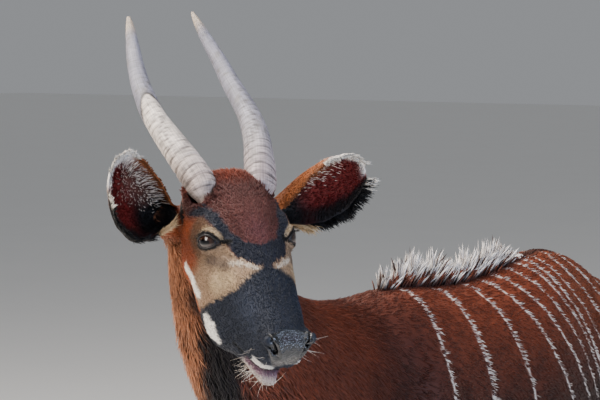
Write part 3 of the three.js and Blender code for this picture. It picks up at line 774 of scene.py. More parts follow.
def face_colour(q):
    """The coat's colour on the head, at places in the head's frame."""
    x, y, z = q.T
    n = len(q)
    angle = np.degrees(np.arctan2(np.abs(x), z + 60))
    v = angle * FACE_ROUND
    fuzz = 2.6 * ripple(q, 26) + 1.5 * ripple(q, 8, 1.0)
    yy, vv, aa = y + fuzz, v + 0.7 * fuzz, angle + 0.5 * fuzz
    upper, lower = np.interp(yy, *BAND_UPPER), np.interp(yy, *BAND_LOWER)
    base = mix(shades("maroon", np.ones(n)), "#a55f33", step(aa - lower, -2, 14))
    # Hair between and behind the horns is redder.
    base = mix(base, "#8e4526", 0.85 * (1 - step(yy, -10, 30)))
    # A painted sheen on the middle of the forehead, lighter and violet.
    base = mix(base, "#7d5257", 0.55 * np.exp(-(((y - 138) / 30) ** 2) - ((v / 24) ** 2)))
    base = mix(base, "#4f2018", 0.5 * stroke(yy, vv, [(20, 62), (90, 38), (130, 30)], [8, 8, 5], 6))
    # Underside of the jaw and throat.
    base = mix(base, "#161b26", 0.92 * step(vv, 186, 205) * step(yy, 60, 130))
    # Tan brow and cheek between the band and the muzzle.
    brow = step(yy, 58, 78) * step(aa - lower, -1, 3) * (1 - step(aa, 84, 96))
    base = mix(base, "#745d4a", 0.92 * brow)
    cheek = step(yy, 112, 150) * step(aa - lower, -1, 3) * (1 - step(aa, 116, 130))
    base = mix(base, "#ab9680", 0.94 * cheek)
    pale = stroke(yy, vv, [(178, 84), (196, 108), (204, 78)], [11, 18, 15], 12)
    base = mix(base, "#c6b396", 0.8 * pale)
    # A painted shadow below and in front of the eye, a darker grey over the cheek.
    base = mix(base, "#74665e", 0.75 * stroke(yy, vv, [(150, 96), (178, 74)], [10, 11], 9))
    # Muzzle and nose bridge.
    muzzle = step(yy - np.interp(aa, *MUZZLE_EDGE), -4, 5)
    # The muzzle's slate is its own near-black with a painted bluish reflection of the sky in it.
    base = mix(base, "slate", 0.98 * muzzle)
    # A painted bluish sheen on the upper side of the muzzle, lighter than the slate.
    base = mix(base, "#4d576b", 0.4 * muzzle * np.exp(-(((v - 70) / 30) ** 2) - (((y - 275) / 46) ** 2)))
    # Dark band over each brow, which widens into the patch between the eyes.
    band = step(aa - upper, -2, 2) * (1 - step(aa - lower, -2, 2))
    band = band * step(yy, 38, 48) * (1 - step(yy, 205, 213))
    base = mix(base, "#222c3e", 0.97 * band)
    # Pale chevron above the nose bridge.
    chevron = stroke(yy, vv, [(182, 63), (194, 44), (208, 21)], [3.4, 4.6, 2.6], 2.6)
    base = mix(base, "#d2c8bb", 0.95 * chevron)
    # Two white marks low on each cheek.
    base = mix(base, "white", stroke(yy, vv, [(98, 166), (136, 160), (178, 154)], [8, 10, 5], 3))
    base = mix(base, "white", stroke(yy, vv, [(222, 156), (246, 160), (270, 164)], [6, 12, 6], 3))
    # Lips and chin.
    m = mouth_height(q)
    lip = step(yy, 340, 349) * (1 - step(np.abs(m - 9), 5, 9)) * step(np.abs(x), 17, 24)
    base = mix(base, "white", 0.85 * lip)
    chin = step(yy, 316, 334) * step(-m - 0.4 * fuzz, 5, 10)
    base = mix(base, "#cfc4bd", 0.85 * chin)
    lower_lip = step(yy, 322, 336) * (1 - step(np.abs(m + 5.5), 4.2, 7))
    base = mix(base, "#7f6172", 0.92 * lower_lip)
    base = mix(base, "#0c0a0d", 0.9 * step(yy, 290, 300) * (1 - step(np.abs(m), 1.4, 3.4)))
    # Rims of the eyes and the tear ducts.
    for side in (1, -1):
        _, b, ahead, r, edge = seen_from_eye(q, side)
        near = (ahead > 0) & (r < 46)
        rim = (1 - step(np.abs(edge - 6.5), 1.5, 3.5)) * (1 - step(r, 28.5, 31.5))
        base = mix(base, "#cdbb9d", 0.7 * near * (b > 0) * rim)
        base = mix(base, "#0f0c0e", near * (1 - step(edge, 2.6, 5.2)))
    mirrored = np.stack([np.abs(x), y, z], 1)
    d, share = near_line(mirrored, TEAR_DUCT)
    base = mix(base, "#15141a", 0.92 * (1 - step(d - 5 + 3.5 * share, -1.5, 3)))
    # The foot of the ear's cup is dark inside.
    for name in EARS:
        root, axis, opening, _ = ear_axes(name)
        e = q - root - axis * EAR_STUB
        out, up = e @ opening, e @ axis
        inside = np.maximum(step(out, -12, 0) * step(up, -14, -6), step(up, -12, -7))
        base = mix(base, "#0b0506", inside * (np.linalg.norm(e, axis=1) < 48))
    # Nose pad and nostrils.
    base = mix(base, "#101117", 0.98 * pad_share(q))
    pink = np.exp(-(((np.abs(x) - 9) / 9) ** 2) - (((y - 352) / 8) ** 2))
    base = mix(base, "#5f4a58", 0.35 * pad_share(q) * pink)
    d, share = near_line(mirrored, NOSTRIL)
    return mix(base, "#030304", 1 - step(d, 3.2, 6.0))


def pad_share(q):
    """How much a place belongs to the bare, wet nose pad."""
    x, y, z = q.T
    aside = np.abs(x)
    top = step(y - 336 - 0.22 * np.maximum(aside - 12, 0), -4, 4)
    wide = 1 - step(aside - 40 + 0.42 * np.maximum(-22 - z, 0), -4, 4)
    return top * wide * step(mouth_height(q), 9, 15)


def skin_colour(points, weight):
    """Colours of skin points, by how much each belongs to the head."""
    body = body_colour(design(points))
    head = face_colour(to_head(points))
    return body + (head - body) * weight[:, None]


def head_weight(points):
    """1 on the head, 0 on the neck, with a soft change between them."""
    q = to_head(points)
    on_neck = -0.6 * q[:, 1] - 0.8 * (q[:, 2] + 80)
    return 1 - step(on_neck + 6 * ripple(q, 40), -6, 26)


# Materials

# Pigment lies deep in overlapping hair, which darkens and enriches the painted colours.
RICHNESS = 1.35


def wire(tree, made, **links):
    """Sets sockets of a node to values, or links them to sockets or to a node's first output.

    A key like i2 is the socket's number.
    """
    for key, value in links.items():
        numbered = key[0] == "i" and key[1:].isdigit()
        socket = made.inputs[int(key[1:]) if numbered else key.replace("_", " ")]
        if isinstance(value, bpy.types.Node):
            value = value.outputs[0]
        if isinstance(value, bpy.types.NodeSocket):
            tree.links.new(value, socket)
        else:
            socket.default_value = value


def node(tree, kind, settings=None, **links):
    """Adds a node to a tree, with its settings and its sockets."""
    made = tree.nodes.new(kind)
    for key, value in (settings or {}).items():
        setattr(made, key, value)
    wire(tree, made, **links)
    return made


def new_material(name):
    """A material with its shader, ready for its nodes."""
    made = bpy.data.materials.new(name)
    made.use_nodes = True
    tree = made.node_tree
    tree.nodes.clear()
    shader = node(tree, "ShaderNodeBsdfPrincipled")
    node(tree, "ShaderNodeOutputMaterial", {}, Surface=shader)
    return made, tree, shader


def rgba(colour):
    """A colour with full opacity."""
    return (*[float(c) for c in colour], 1.0)


def set_stops(ramp, stops):
    """Places the colours of a ramp."""
    elements = ramp.color_ramp.elements
    while len(elements) < len(stops):
        elements.new(0.5)
    for element, (at, colour) in zip(elements, stops):
        element.position = at
        element.color = rgba(colour)


def tinted(tree, shader, depth):
    """Colours a surface by its painted tint, enriched, and shaded by a depth that varies over it."""
    tint = node(tree, "ShaderNodeAttribute", {"attribute_name": "tint"})
    rich = node(tree, "ShaderNodeGamma", {}, Color=tint.outputs["Color"], Gamma=RICHNESS)
    grey = node(tree, "ShaderNodeCombineColor", {}, Red=depth, Green=depth, Blue=depth)
    multiply = {"data_type": "RGBA", "blend_type": "MULTIPLY"}
    shade = node(tree, "ShaderNodeMix", multiply, i0=1.0, i6=rich, i7=grey)
    wire(tree, shader, Base_Color=shade.outputs[2])


def hair_material(name, roughness, sheen, gloss):
    """Hair: keratin over pigment, with a soft highlight and a colour that varies from tuft to tuft."""
    made, tree, shader = new_material(name)
    place = node(tree, "ShaderNodeTexCoord").outputs["Object"]
    # Tufts about 4 mm apart differ a little in depth, and patches a hand wide differ too.
    cells = node(tree, "ShaderNodeTexNoise", {}, Vector=place, Scale=210.0, Detail=2.0)
    patches = node(tree, "ShaderNodeTexNoise", {}, Vector=place, Scale=14.0, Detail=2.0)
    total = node(tree, "ShaderNodeMath", {"operation": "MULTIPLY_ADD"}, i0=cells, i1=0.55, i2=patches)
    span = {"From_Min": 0.5, "From_Max": 1.05, "To_Min": 0.72, "To_Max": 1.24}
    depth = node(tree, "ShaderNodeMapRange", {}, Value=total, **span)
    tinted(tree, shader, depth)
    wire(tree, shader, Roughness=roughness, Specular_IOR_Level=gloss)
    wire(tree, shader, Sheen_Weight=sheen, Sheen_Roughness=0.45)
    return made


def skin_material():
    """Skin under short hair: the hair's own colour, a fine streaked grain, and a wet, pebbled nose pad."""
    made, tree, shader = new_material("short_haired_skin")
    wet = node(tree, "ShaderNodeAttribute", {"attribute_name": "wet"}).outputs["Fac"]
    place = node(tree, "ShaderNodeTexCoord").outputs["Object"]
    # Hairs about 1.6 mm apart, drawn as coarse as the picture can show.
    grain = node(tree, "ShaderNodeTexNoise", {}, Vector=place, Scale=620.0, Detail=3.0)
    # Pebbles of the pad are about 3 mm wide.
    pebble = node(tree, "ShaderNodeTexVoronoi", {}, Vector=place, Scale=340.0).outputs["Distance"]
    depth = node(tree, "ShaderNodeMapRange", {}, Value=grain, To_Min=0.62, To_Max=1.3)
    tinted(tree, shader, depth)
    rough = node(tree, "ShaderNodeMapRange", {}, Value=wet, To_Min=0.6, To_Max=0.14)
    height = node(tree, "ShaderNodeMix", {"data_type": "FLOAT"}, i0=wet, i2=grain, i3=pebble)
    bump = node(tree, "ShaderNodeBump", {}, Height=height, Strength=0.7, Distance=0.0016)
    wire(tree, shader, Roughness=rough, Normal=bump, Specular_IOR_Level=0.3)
    wire(tree, shader, Coat_Weight=wet, Coat_Roughness=0.26, Coat_Normal=bump)
    return made


def horn_material():
    """Horn sheath: keratin laid down in yearly rings and long fibres, weathered grey and worn to ivory."""
    made, tree, shader = new_material("horn_sheath")
    uv = node(tree, "ShaderNodeUVMap", {"uv_map": "horn"})
    # U runs along the horn in tenths of a metre and V round it in turns: rings, fibres, patches.
    noises = []
    kinds = [((26.0, 1.6, 1.0), 4.0, 0.3), ((1.1, 60.0, 1.0), 5.0, 0.0), ((1.6, 4.0, 1.0), 4.0, 0.0)]
    for scale, detail, warp in kinds:
        way = node(tree, "ShaderNodeMapping", {}, Vector=uv, Scale=scale)
        noise = node(tree, "ShaderNodeTexNoise", {}, Vector=way, Scale=1.0, Detail=detail, Distortion=warp)
        noises.append(noise)
    ring, fibre, patch = noises
    mixed = node(tree, "ShaderNodeMath", {"operation": "MULTIPLY_ADD"}, i0=ring, i1=0.6, i2=fibre)
    again = node(tree, "ShaderNodeMath", {"operation": "MULTIPLY_ADD"}, i0=patch, i1=0.5, i2=mixed)
    span = {"From_Min": 0.75, "From_Max": 1.3, "To_Min": 0.34, "To_Max": 1.2}
    depth = node(tree, "ShaderNodeMapRange", {}, Value=again, **span)
    tinted(tree, shader, depth)
    bump = node(tree, "ShaderNodeBump", {}, Height=mixed, Strength=0.6, Distance=0.0012)
    wire(tree, shader, Normal=bump, Roughness=0.48)
    return made


def hoof_material():
    """Hoof horn: dense dark keratin with fine level growth lines."""
    made, tree, shader = new_material("hoof_horn")
    place = node(tree, "ShaderNodeTexCoord").outputs["Object"]
    # Growth lines about 3 mm apart.
    stretched = node(tree, "ShaderNodeMapping", {}, Vector=place, Scale=(30.0, 30.0, 330.0))
    lines = node(tree, "ShaderNodeTexNoise", {}, Vector=stretched, Scale=1.0, Detail=4.0)
    ramp = node(tree, "ShaderNodeValToRGB", {}, Fac=lines)
    set_stops(ramp, [(0.35, hue("hoof") * 0.6), (0.7, hue("hoof") * 2.2)])
    bump = node(tree, "ShaderNodeBump", {}, Height=lines, Strength=0.5, Distance=0.001)
    wire(tree, shader, Base_Color=ramp, Normal=bump, Roughness=0.42)
    return made


def eye_material():
    """Eye: a dark brown iris round a long, level pupil, under a clear wet cornea."""
    made, tree, shader = new_material("eye_cornea")
    uv = node(tree, "ShaderNodeUVMap", {"uv_map": "gaze"})
    centre = {"Location": (-1.0, -1.0, 0.0), "Scale": (2.0, 2.0, 1.0)}
    centred = node(tree, "ShaderNodeMapping", {}, Vector=uv, **centre)
    out = node(tree, "ShaderNodeVectorMath", {"operation": "LENGTH"}, i0=centred).outputs["Value"]
    flat = node(tree, "ShaderNodeMapping", {}, Vector=centred, Scale=(0.8, 1.55, 1.0))
    pupil = node(tree, "ShaderNodeVectorMath", {"operation": "LENGTH"}, i0=flat)
    parts = node(tree, "ShaderNodeSeparateXYZ", {}, Vector=centred)
    turn = node(tree, "ShaderNodeMath", {"operation": "ARCTAN2"}, i0=parts.outputs[1], i1=parts)
    wheel = node(tree, "ShaderNodeCombineXYZ", {}, X=turn, Y=out)
    spokes = node(tree, "ShaderNodeTexNoise", {}, Vector=wheel, Scale=9.0, Detail=4.0)
    ring = node(tree, "ShaderNodeValToRGB", {}, Fac=out)
    codes = [(0.0, "#1c110d"), (0.5, "#3c241a"), (0.68, "#1a110f"), (0.74, "#2c3340"), (0.84, "#3b3338")]
    set_stops(ring, [(at, linear(code)) for at, code in codes])
    multiply = {"data_type": "RGBA", "blend_type": "MULTIPLY"}
    streaked = node(tree, "ShaderNodeMix", multiply, i0=0.55, i6=ring, i7=spokes.outputs[1])
    edge = {"From_Min": 0.3, "From_Max": 0.37}
    smooth = {"interpolation_type": "SMOOTHSTEP"}
    hole = node(tree, "ShaderNodeMapRange", smooth, Value=pupil.outputs["Value"], **edge)
    dark = rgba(linear("#040405"))
    seen = node(tree, "ShaderNodeMix", {"data_type": "RGBA"}, i0=hole, i6=dark, i7=streaked.outputs[2])
    wire(tree, shader, Base_Color=seen.outputs[2], Roughness=0.09, IOR=1.376)
    wire(tree, shader, Coat_Weight=1.0, Coat_Roughness=0.02)
    return made


def lid_material():
    """Lid margin: bare dark skin, moist, with fine creases."""
    made, tree, shader = new_material("lid_margin")
    place = node(tree, "ShaderNodeTexCoord").outputs["Object"]
    # Creases about 1.4 mm apart.
    creases = node(tree, "ShaderNodeTexNoise", {}, Vector=place, Scale=700.0, Detail=3.0)
    ramp = node(tree, "ShaderNodeValToRGB", {}, Fac=creases)
    set_stops(ramp, [(0, linear("#0b090a")), (1, linear("#1d1719"))])
    bump = node(tree, "ShaderNodeBump", {}, Height=creases, Strength=0.4, Distance=0.0005)
    wire(tree, shader, Base_Color=ramp, Normal=bump, Roughness=0.42)
    return made


def whisker_material():
    """Whiskers: stiff pale hairs of solid keratin, a little glossy, some darker than others."""
    made, tree, shader = new_material("whisker_keratin")
    place = node(tree, "ShaderNodeTexCoord").outputs["Object"]
    change = node(tree, "ShaderNodeTexNoise", {}, Vector=place, Scale=40.0)
    ramp = node(tree, "ShaderNodeValToRGB", {}, Fac=change)
    set_stops(ramp, [(0, linear("#b9a793")), (1, linear("#f2ece2"))])
    wire(tree, shader, Base_Color=ramp, Roughness=0.35)
    return made


MATERIALS = {}


def material(name):
    """One of the materials, made when it is first asked for."""
    makers = {
        "skin": skin_material,
        "short": lambda: hair_material("short_coat_hair", 0.5, 0.02, 0.22),
        "long": lambda: hair_material("long_mane_hair", 0.46, 0.02, 0.3),
        "horn": horn_material,
        "hoof": hoof_material,
        "eye": eye_material,
        "lid": lid_material,
        "whisker": whisker_material,
    }
    if name not in MATERIALS:
        MATERIALS[name] = makers[name]()
    return MATERIALS[name]


# Hair


def lock_points(root, normal, flow, length, width, lift, bend, sway, stations, thick=0.3, sink=0.05):
    """Places of flat tapered locks: rings of three points from the root, then the tip."""
    n = len(root)
    root = root - normal * (np.broadcast_to(length, n) * sink)[:, None]
    flow = unit(flow - normal * (flow * normal).sum(1, keepdims=True))
    side = np.cross(flow, normal)
    lift = np.broadcast_to(lift, n)[:, None]
    along = flow * np.cos(lift) + normal * np.sin(lift)
    up = np.cross(side, along)
    length = np.broadcast_to(length, n)[:, None]
    width = np.broadcast_to(width, n)[:, None]
    bend = np.broadcast_to(bend, n)[:, None]
    sway = np.broadcast_to(sway, n)[:, None]
    shares = np.linspace(0, 1, stations + 1)
    rings = []
    for s in shares[:-1]:
        centre = root + length * (along * s - normal * bend * s**2 + side * sway * s**2)
        half = width / 2 * (0.75 + 0.9 * s - 1.25 * s * s)
        rings += [centre + side * half, centre - side * half, centre + up * half * 2 * thick]
    tip = root + length * (along - normal * bend + side * sway)
    return np.stack([*rings, tip], axis=1)


def lock_faces(stations):
    """Triangles of one lock: a cap at the root, the sides and the tip."""
    faces = [[0, 1, 2]]
    for r in range(stations - 1):
        for k in range(3):
            a, b = r * 3 + k, r * 3 + (k + 1) % 3
            faces += [[a, a + 3, b], [b, a + 3, b + 3]]
    last, tip = (stations - 1) * 3, stations * 3
    faces += [[last + k, tip, last + (k + 1) % 3] for k in range(3)]
    return np.array(faces)


PATCH = 0.003  # size of one tuft's patch on its bake map


def locks_piece(name, points, tint_root, tint_tip, spot, look, turn=0.45):
    """Joins locks into one mesh with their colours and their patches on the bake map."""
    n, per = points.shape[:2]
    stations = (per - 1) // 3
    faces = lock_faces(stations)
    first = points[0]
    volume = (np.cross(first[faces[:, 0]], first[faces[:, 1]]) * first[faces[:, 2]]).sum()
    if volume < 0:
        faces = faces[:, ::-1]
    every = (faces[None] + (np.arange(n) * per)[:, None, None]).reshape(-1, 3)
    mesh = mesh_from(name, points.reshape(-1, 3), every)
    share = np.concatenate([np.repeat(np.arange(stations), 3), [stations]]) / stations
    blend = step(share, max(turn - 0.3, 0), turn + 0.3)[None, :, None]
    tint = tint_root[:, None] + (tint_tip - tint_root)[:, None] * blend
    set_tint(mesh, tint.reshape(-1, 3))
    across = np.concatenate([np.tile([0.15, 0.85, 0.5], stations), [0.5]])
    patch = np.stack([across, share], 1) * PATCH
    uv = (spot * (1 - PATCH))[:, None] + patch[None]
    set_uv(mesh, "OFBake", uv.reshape(-1, 2), every.ravel())
    made = object_from(name, mesh, material(look))
    return finish_piece(made)


def scattered(points, faces, count, seed, density=None):
    """Seeded places spread over a surface, with their normals."""
    rng = np.random.default_rng(seed)
    if faces.shape[1] == 4:
        faces = np.concatenate([faces[:, [0, 1, 2]], faces[:, [0, 2, 3]]])
    area = np.linalg.norm(face_normals(points, faces), axis=1)
    if density is not None:
        area = area * density[faces].mean(axis=1)
    pick = np.searchsorted(np.cumsum(area), rng.random(count) * area.sum())
    pick = np.minimum(pick, len(faces) - 1)
    u, v = rng.random(count), rng.random(count)
    flip = u + v > 1
    u[flip], v[flip] = 1 - u[flip], 1 - v[flip]
    corner = faces[pick]
    normals = point_normals(points, faces)
    weights = np.stack([1 - u - v, u, v], 1)[:, :, None]
    return (points[corner] * weights).sum(1), unit((normals[corner] * weights).sum(1))


def body_flow(p):
    """The way the hair lies on trunk, neck, legs and tail, at places in design millimetres."""
    _, y, z = p.T
    n = len(p)
    trunk = np.tile([0.0, 1.0, -0.5], (n, 1))
    neck = np.tile([0.08, 0.62, -0.78], (n, 1))
    leg = np.tile([0.0, 0.18, -1.0], (n, 1))
    on_neck = step(-y, 420, 640)[:, None]
    on_leg = (1 - step(z, 520, 760))[:, None]
    flow = trunk * (1 - on_neck) + neck * on_neck
    flow = flow * (1 - on_leg) + leg * on_leg
    tail = (step(y, 610, 650) * step(z, 560, 640))[:, None]
    flow = flow * (1 - tail) + np.array([0, 0, -1.0]) * tail
    wave = ripple(p, 210, 0.6)[:, None] * np.array([[0.25, 0.0, 0.22]])
    return flow + wave


def head_flow(q):
    """The way the hair lies on the head, in the head's frame."""
    x, y, z = q.T
    sign = np.sign(x)
    angle = np.degrees(np.arctan2(np.abs(x), z + 60))
    on_side = step(angle, 35, 90)
    aside = 0.4 * sign * np.exp(-(((y - 120) / 60) ** 2)) + 0.1 * sign
    flow = np.stack([aside, -np.ones(len(q)), -0.55 * on_side], 1)
    return flow + ripple(q, 60)[:, None] * np.array([[0.25, 0.0, 0.25]])


def round_trunk(p):
    """A place on an unwrap of the trunk: along it and round it, from 0 to 1."""
    x, y, z = p.T
    along = (y + 960) / 1640
    axis_z = np.interp(y, [-920, -700, -500, 0, 620], [1250, 1050, 900, 840, 900])
    axis_x = np.interp(y, [-920, -600, 0, 420], [-54, -20, 0, HIP_SHIFT])
    return np.stack([np.clip(along, 0, 1), (np.arctan2(x - axis_x, z - axis_z) / (2 * math.pi)) + 0.5], 1)


def round_legs(p):
    """A place on an unwrap of the legs: each in its own quarter, height against the angle round it."""
    x, y, z = p.T
    hind = (y > 60).astype(float)
    left = (x > np.where(hind > 0, HIP_SHIFT, 0)).astype(float)
    cx = np.where(hind > 0, HIP_SHIFT, 0) + np.where(left > 0, 1, -1) * 116
    cy = np.where(hind > 0, 515, -415)
    round_ = np.arctan2(x - cx, y - cy) / (2 * math.pi) + 0.5
    return np.stack([(hind * 2 + left + round_) / 4, np.clip(z / 1160, 0, 1)], 1)


def round_head(q):
    """A place on an unwrap of the head: along it and round it, from 0 to 1."""
    x, y, z = q.T
    return np.stack([np.clip((y + 130) / 520, 0, 1), np.arctan2(x, z + 62) / (2 * math.pi) + 0.5], 1)


LIMIT = 19500  # tufts in one piece, which keeps it under 200,000 triangles
NAPE_HAIR = 0.024  # length of the hair where the head's skin runs onto the neck, in metres


def cleared(tree, root, normal, flow, length, lift):
    """The lift of each tuft, raised where its tip would sink into hollow skin."""
    flat = unit(flow - normal * (flow * normal).sum(1, keepdims=True))
    tips = root + flat * length[:, None]
    height = np.empty(len(root))
    for k, tip in enumerate(tips):
        near, out, _, _ = tree.find_nearest(Vector(tip))
        height[k] = (Vector(tip) - near).dot(out)
    return lift + np.clip(0.075 - height / length, 0, 0.9) * 1.6


def coat_pieces(name, skin, root, normal, flow, spot, tint, length, width, lift, seed, slot="coat"):
    """Short coat over one part of the body, in as many pieces as its count of tufts needs."""
    rng = np.random.default_rng(seed)
    n = len(root)
    order = np.argsort(spot[:, 0])
    pieces = math.ceil(n / LIMIT)
    flow = flow + rng.normal(size=(n, 3)) * 0.13
    length = length * rng.uniform(0.7, 1.25, n)
    width = width * rng.uniform(0.75, 1.25, n)
    tree = BVHTree.FromPolygons(skin[0].tolist(), skin[1].tolist())
    bend = lift * rng.uniform(0.5, 1.7, n)
    lift = cleared(tree, root, normal, flow, length, bend)
    sway = rng.normal(size=n) * 0.08
    points = lock_points(root, normal, flow, length, width, lift, bend * 0.6, sway, 2)
    shade = rng.uniform(0.8, 1.16, n)[:, None]
    for k, chosen in enumerate(np.array_split(order, pieces)):
        label = f"{name}_{k + 1}" if pieces > 1 else name
        near = spot[chosen]
        low, high = near.min(0), near.max(0)
        near = (near - low) / np.maximum(high - low, 1e-6)
        dark, pale = (tint * shade * 0.72)[chosen], (tint * shade * 1.12)[chosen]
        locks_piece(label, points[chosen], dark, pale, near, "short")


SKINS = {}


class BONGO_OT_skin(bpy.types.Operator):
    """Builds the skin of the body and of the head from the CAD's flesh."""

    bl_idname = "bongo.skin"
    bl_label = "Skin"

    def execute(self, context):
        body, body_faces = body_skin()
        head, head_faces = head_skin()
        SKINS["body"] = (body, body_faces)
        SKINS["head"] = (head, head_faces)
        look = material("skin")
        tint = skin_colour(body, np.zeros(len(body)))
        made = piece("skin_body", body, body_faces, look, tint, BODY_NODES)
        set_value(made.data, "wet", np.zeros(len(body)))
        tint = skin_colour(head, head_weight(head))
        made = piece("skin_head", head, head_faces, look, tint, ["head"])
        set_value(made.data, "wet", pad_share(to_head(head)))
        return {"FINISHED"}


class BONGO_OT_coat(bpy.types.Operator):
    """Lays the short coat over the body, the legs and the head."""

    bl_idname = "bongo.coat"
    bl_label = "Coat"

    def execute(self, context):
        sizes = coat()
        points, faces = SKINS["body"]
        place = design(points)
        above = (place - HEAD_SEAM) @ NECK_AXIS
        bare_top = 1 - step(above, 30, 45)
        on_leg = 1 - step(place[:, 2] + 0.3 * (place[:, 1] > 640) * 300, 520, 600)
        on_neck = step(-place[:, 1], 500, 560) * (1 - on_leg)
        trunk = (1 - on_leg) * (1 - on_neck)
        hoof_free = step(place[:, 2], 60, 64)
        below_mane = on_neck * bare_top
        # name, where it grows, how many, length, width, unwrap, lift, seed
        areas = [
            ("coat_body", trunk, sizes.body_tufts, sizes.body_hair, 0.0029, round_trunk, 0.1, 11),
            ("coat_neck", below_mane, sizes.neck_tufts, sizes.neck_hair, 0.0024, round_trunk, 0.13, 12),
            ("coat_legs", on_leg * hoof_free, sizes.leg_tufts, sizes.leg_hair, 0.0024, round_legs, 0.12, 13),
        ]
        for name, density, count, length, width, unwrap, lift, seed in areas:
            root, normal = scattered(points, faces, count, seed, density)
            p = design(root)
            looks = body_flow(p), unwrap(p), body_colour(p)
            coat_pieces(name, SKINS["body"], root, normal, *looks, length, width, lift, seed)
        self.head_coat(sizes)
        return {"FINISHED"}

    def head_coat(self, sizes):
        """Short hair on the head, smallest round the nose and eyes, longer behind the cheeks."""
        points, faces = SKINS["head"]
        q = to_head(points)
        weight = head_weight(points)
        bare = np.clip(1 - 1.4 * pad_share(q), 0, 1)
        for side in (1, -1):
            a, b, ahead, r, _ = seen_from_eye(q, side)
            opening = (np.abs(b) - lid_edge(a, b > 0) < 1.5) & (np.abs(a) < EYE_LONG + 1)
            bare = bare * (1 - opening * (ahead > 0) * (r < 40))
        m = mouth_height(q)
        bare = bare * (1 - (q[:, 1] > 300) * (np.abs(m) < 3.5))
        density = bare * (0.55 + 0.45 * weight)
        root, normal = scattered(points, faces, sizes.head_tufts, 14, density)
        q = to_head(root)
        w = head_weight(root)[:, None]
        flow = (head_flow(q) @ HEAD_AXES) * w + body_flow(design(root)) * (1 - w)
        on_face = w[:, 0]
        face_hair = sizes.face_hair * (1 - 0.35 * step(q[:, 1], 180, 330))
        length = face_hair * on_face + NAPE_HAIR * (1 - on_face)
        crown = np.exp(-(((q[:, 1] + 6) / 24) ** 2)) * (np.abs(q[:, 0]) < 34)
        # Longer hair stands between the horns and round the foot of each.
        foot = np.linalg.norm(np.abs(q) * [1, 0, 0] + q * [0, 1, 1] - [62, 16, 8], axis=1)
        crown = np.maximum(crown, 0.7 * np.exp(-((foot / 44) ** 4)))
        length = length * (1 + 1.8 * crown)
        width = 0.0015 * on_face + 0.0028 * (1 - on_face)
        lift = 0.24 + 0.5 * crown
        looks = flow, round_head(q), skin_colour(root, on_face)
        coat_pieces("coat_head", SKINS["head"], root, normal, *looks, length, width, lift, 15, "face_coat")


MANE_LOCKS = 2500
CLUMP = 44.0  # millimetres along the back from one clump of the mane to the next


class BONGO_OT_mane(bpy.types.Operator):
    """Sets the crest mane along the back: clumps with dark roots and white tips."""

    bl_idname = "bongo.mane"
    bl_label = "Mane"

    def execute(self, context):
        rng = np.random.default_rng(21)
        points, faces = SKINS["body"]
        tree = BVHTree.FromPolygons(points.tolist(), faces.tolist())
        n = MANE_LOCKS
        y = rng.uniform(MANE_FRONT_Y - 14, MANE_BACK_Y + 30, n)
        x = bend_at(y) + rng.normal(size=n) * 6
        above = world(np.stack([x, y, np.full(n, 1350)], 1))
        root = np.array([tree.ray_cast(Vector(place), Vector((0, 0, -1)))[0] for place in above])
        share = (y - MANE_FRONT_Y) / (MANE_BACK_Y - MANE_FRONT_Y)
        ends = np.minimum(1, np.minimum(0.62 + share * 5, 0.35 + (1 - share) * 3.2))
        # Each lock leans to the middle of its own clump.
        clump = np.round((y + 9 * np.sin(y / 37)) / CLUMP)
        centre = clump * CLUMP - 9 * np.sin(clump * CLUMP / 37) + 10
        lean = np.clip((centre - y) / 30, -0.8, 0.8)
        wild = np.random.default_rng(5).uniform(0.6, 1.15, 60)[clump.astype(int) % 60]
        # The lowest locks are the coat's own chestnut, and hold up the white ones.
        low = rng.random(n) < 0.45
        height = np.where(low, 0.5 * rng.uniform(0.6, 1.15, n), wild * rng.uniform(0.6, 1.08, n))
        height = height * coat().mane_height * ends
        aside = (x - bend_at(y)) / 14
        drift = 0.42 + 0.25 * share + np.where(low, 0.1, lean)
        flow = unit(np.stack([aside * 0.22, drift, np.ones(n)], 1) + rng.normal(size=(n, 3)) * 0.07)
        # The lock's flat side faces sideways.
        out = np.sign(x - bend_at(y) + 0.01)[:, None] * [[1.0, 0, 0]] + 0.35 * rng.normal(size=(n, 3))
        out = unit(out - flow * (out * flow).sum(1, keepdims=True))
        foot = root - np.array([0, 0, 0.004])
        width = np.where(low, 0.0048, 0.0056)
        bend, sway = rng.normal(size=n) * 0.05, 0.06 + 0.16 * rng.random(n)
        made = lock_points(foot, out, flow, height, width, 0.0, bend, sway, 5)
        white = rng.random(n) < 0.9
        dark = shades("#3d221a", rng.uniform(0.5, 1.6, n))
        depth = rng.uniform(0.85, 1.05, n)
        pale = np.where(white[:, None], shades("#f3eeea", depth), shades("#5a3a2e", depth))
        dark = np.where(low[:, None], shades("#5e3222", rng.uniform(0.6, 1.2, n)), dark)
        pale = np.where(low[:, None], shades("#94583c", rng.uniform(0.6, 1.1, n)), pale)
        spot = np.stack([np.clip(share * 0.9 + 0.05, 0, 1), np.clip((x - bend_at(y)) / 60 + 0.5, 0, 1)], 1)
        locks_piece("mane", made, dark, pale, spot, "long", turn=0.46)
        return {"FINISHED"}


TAIL_BACK = 658.0  # how far back the tail hangs


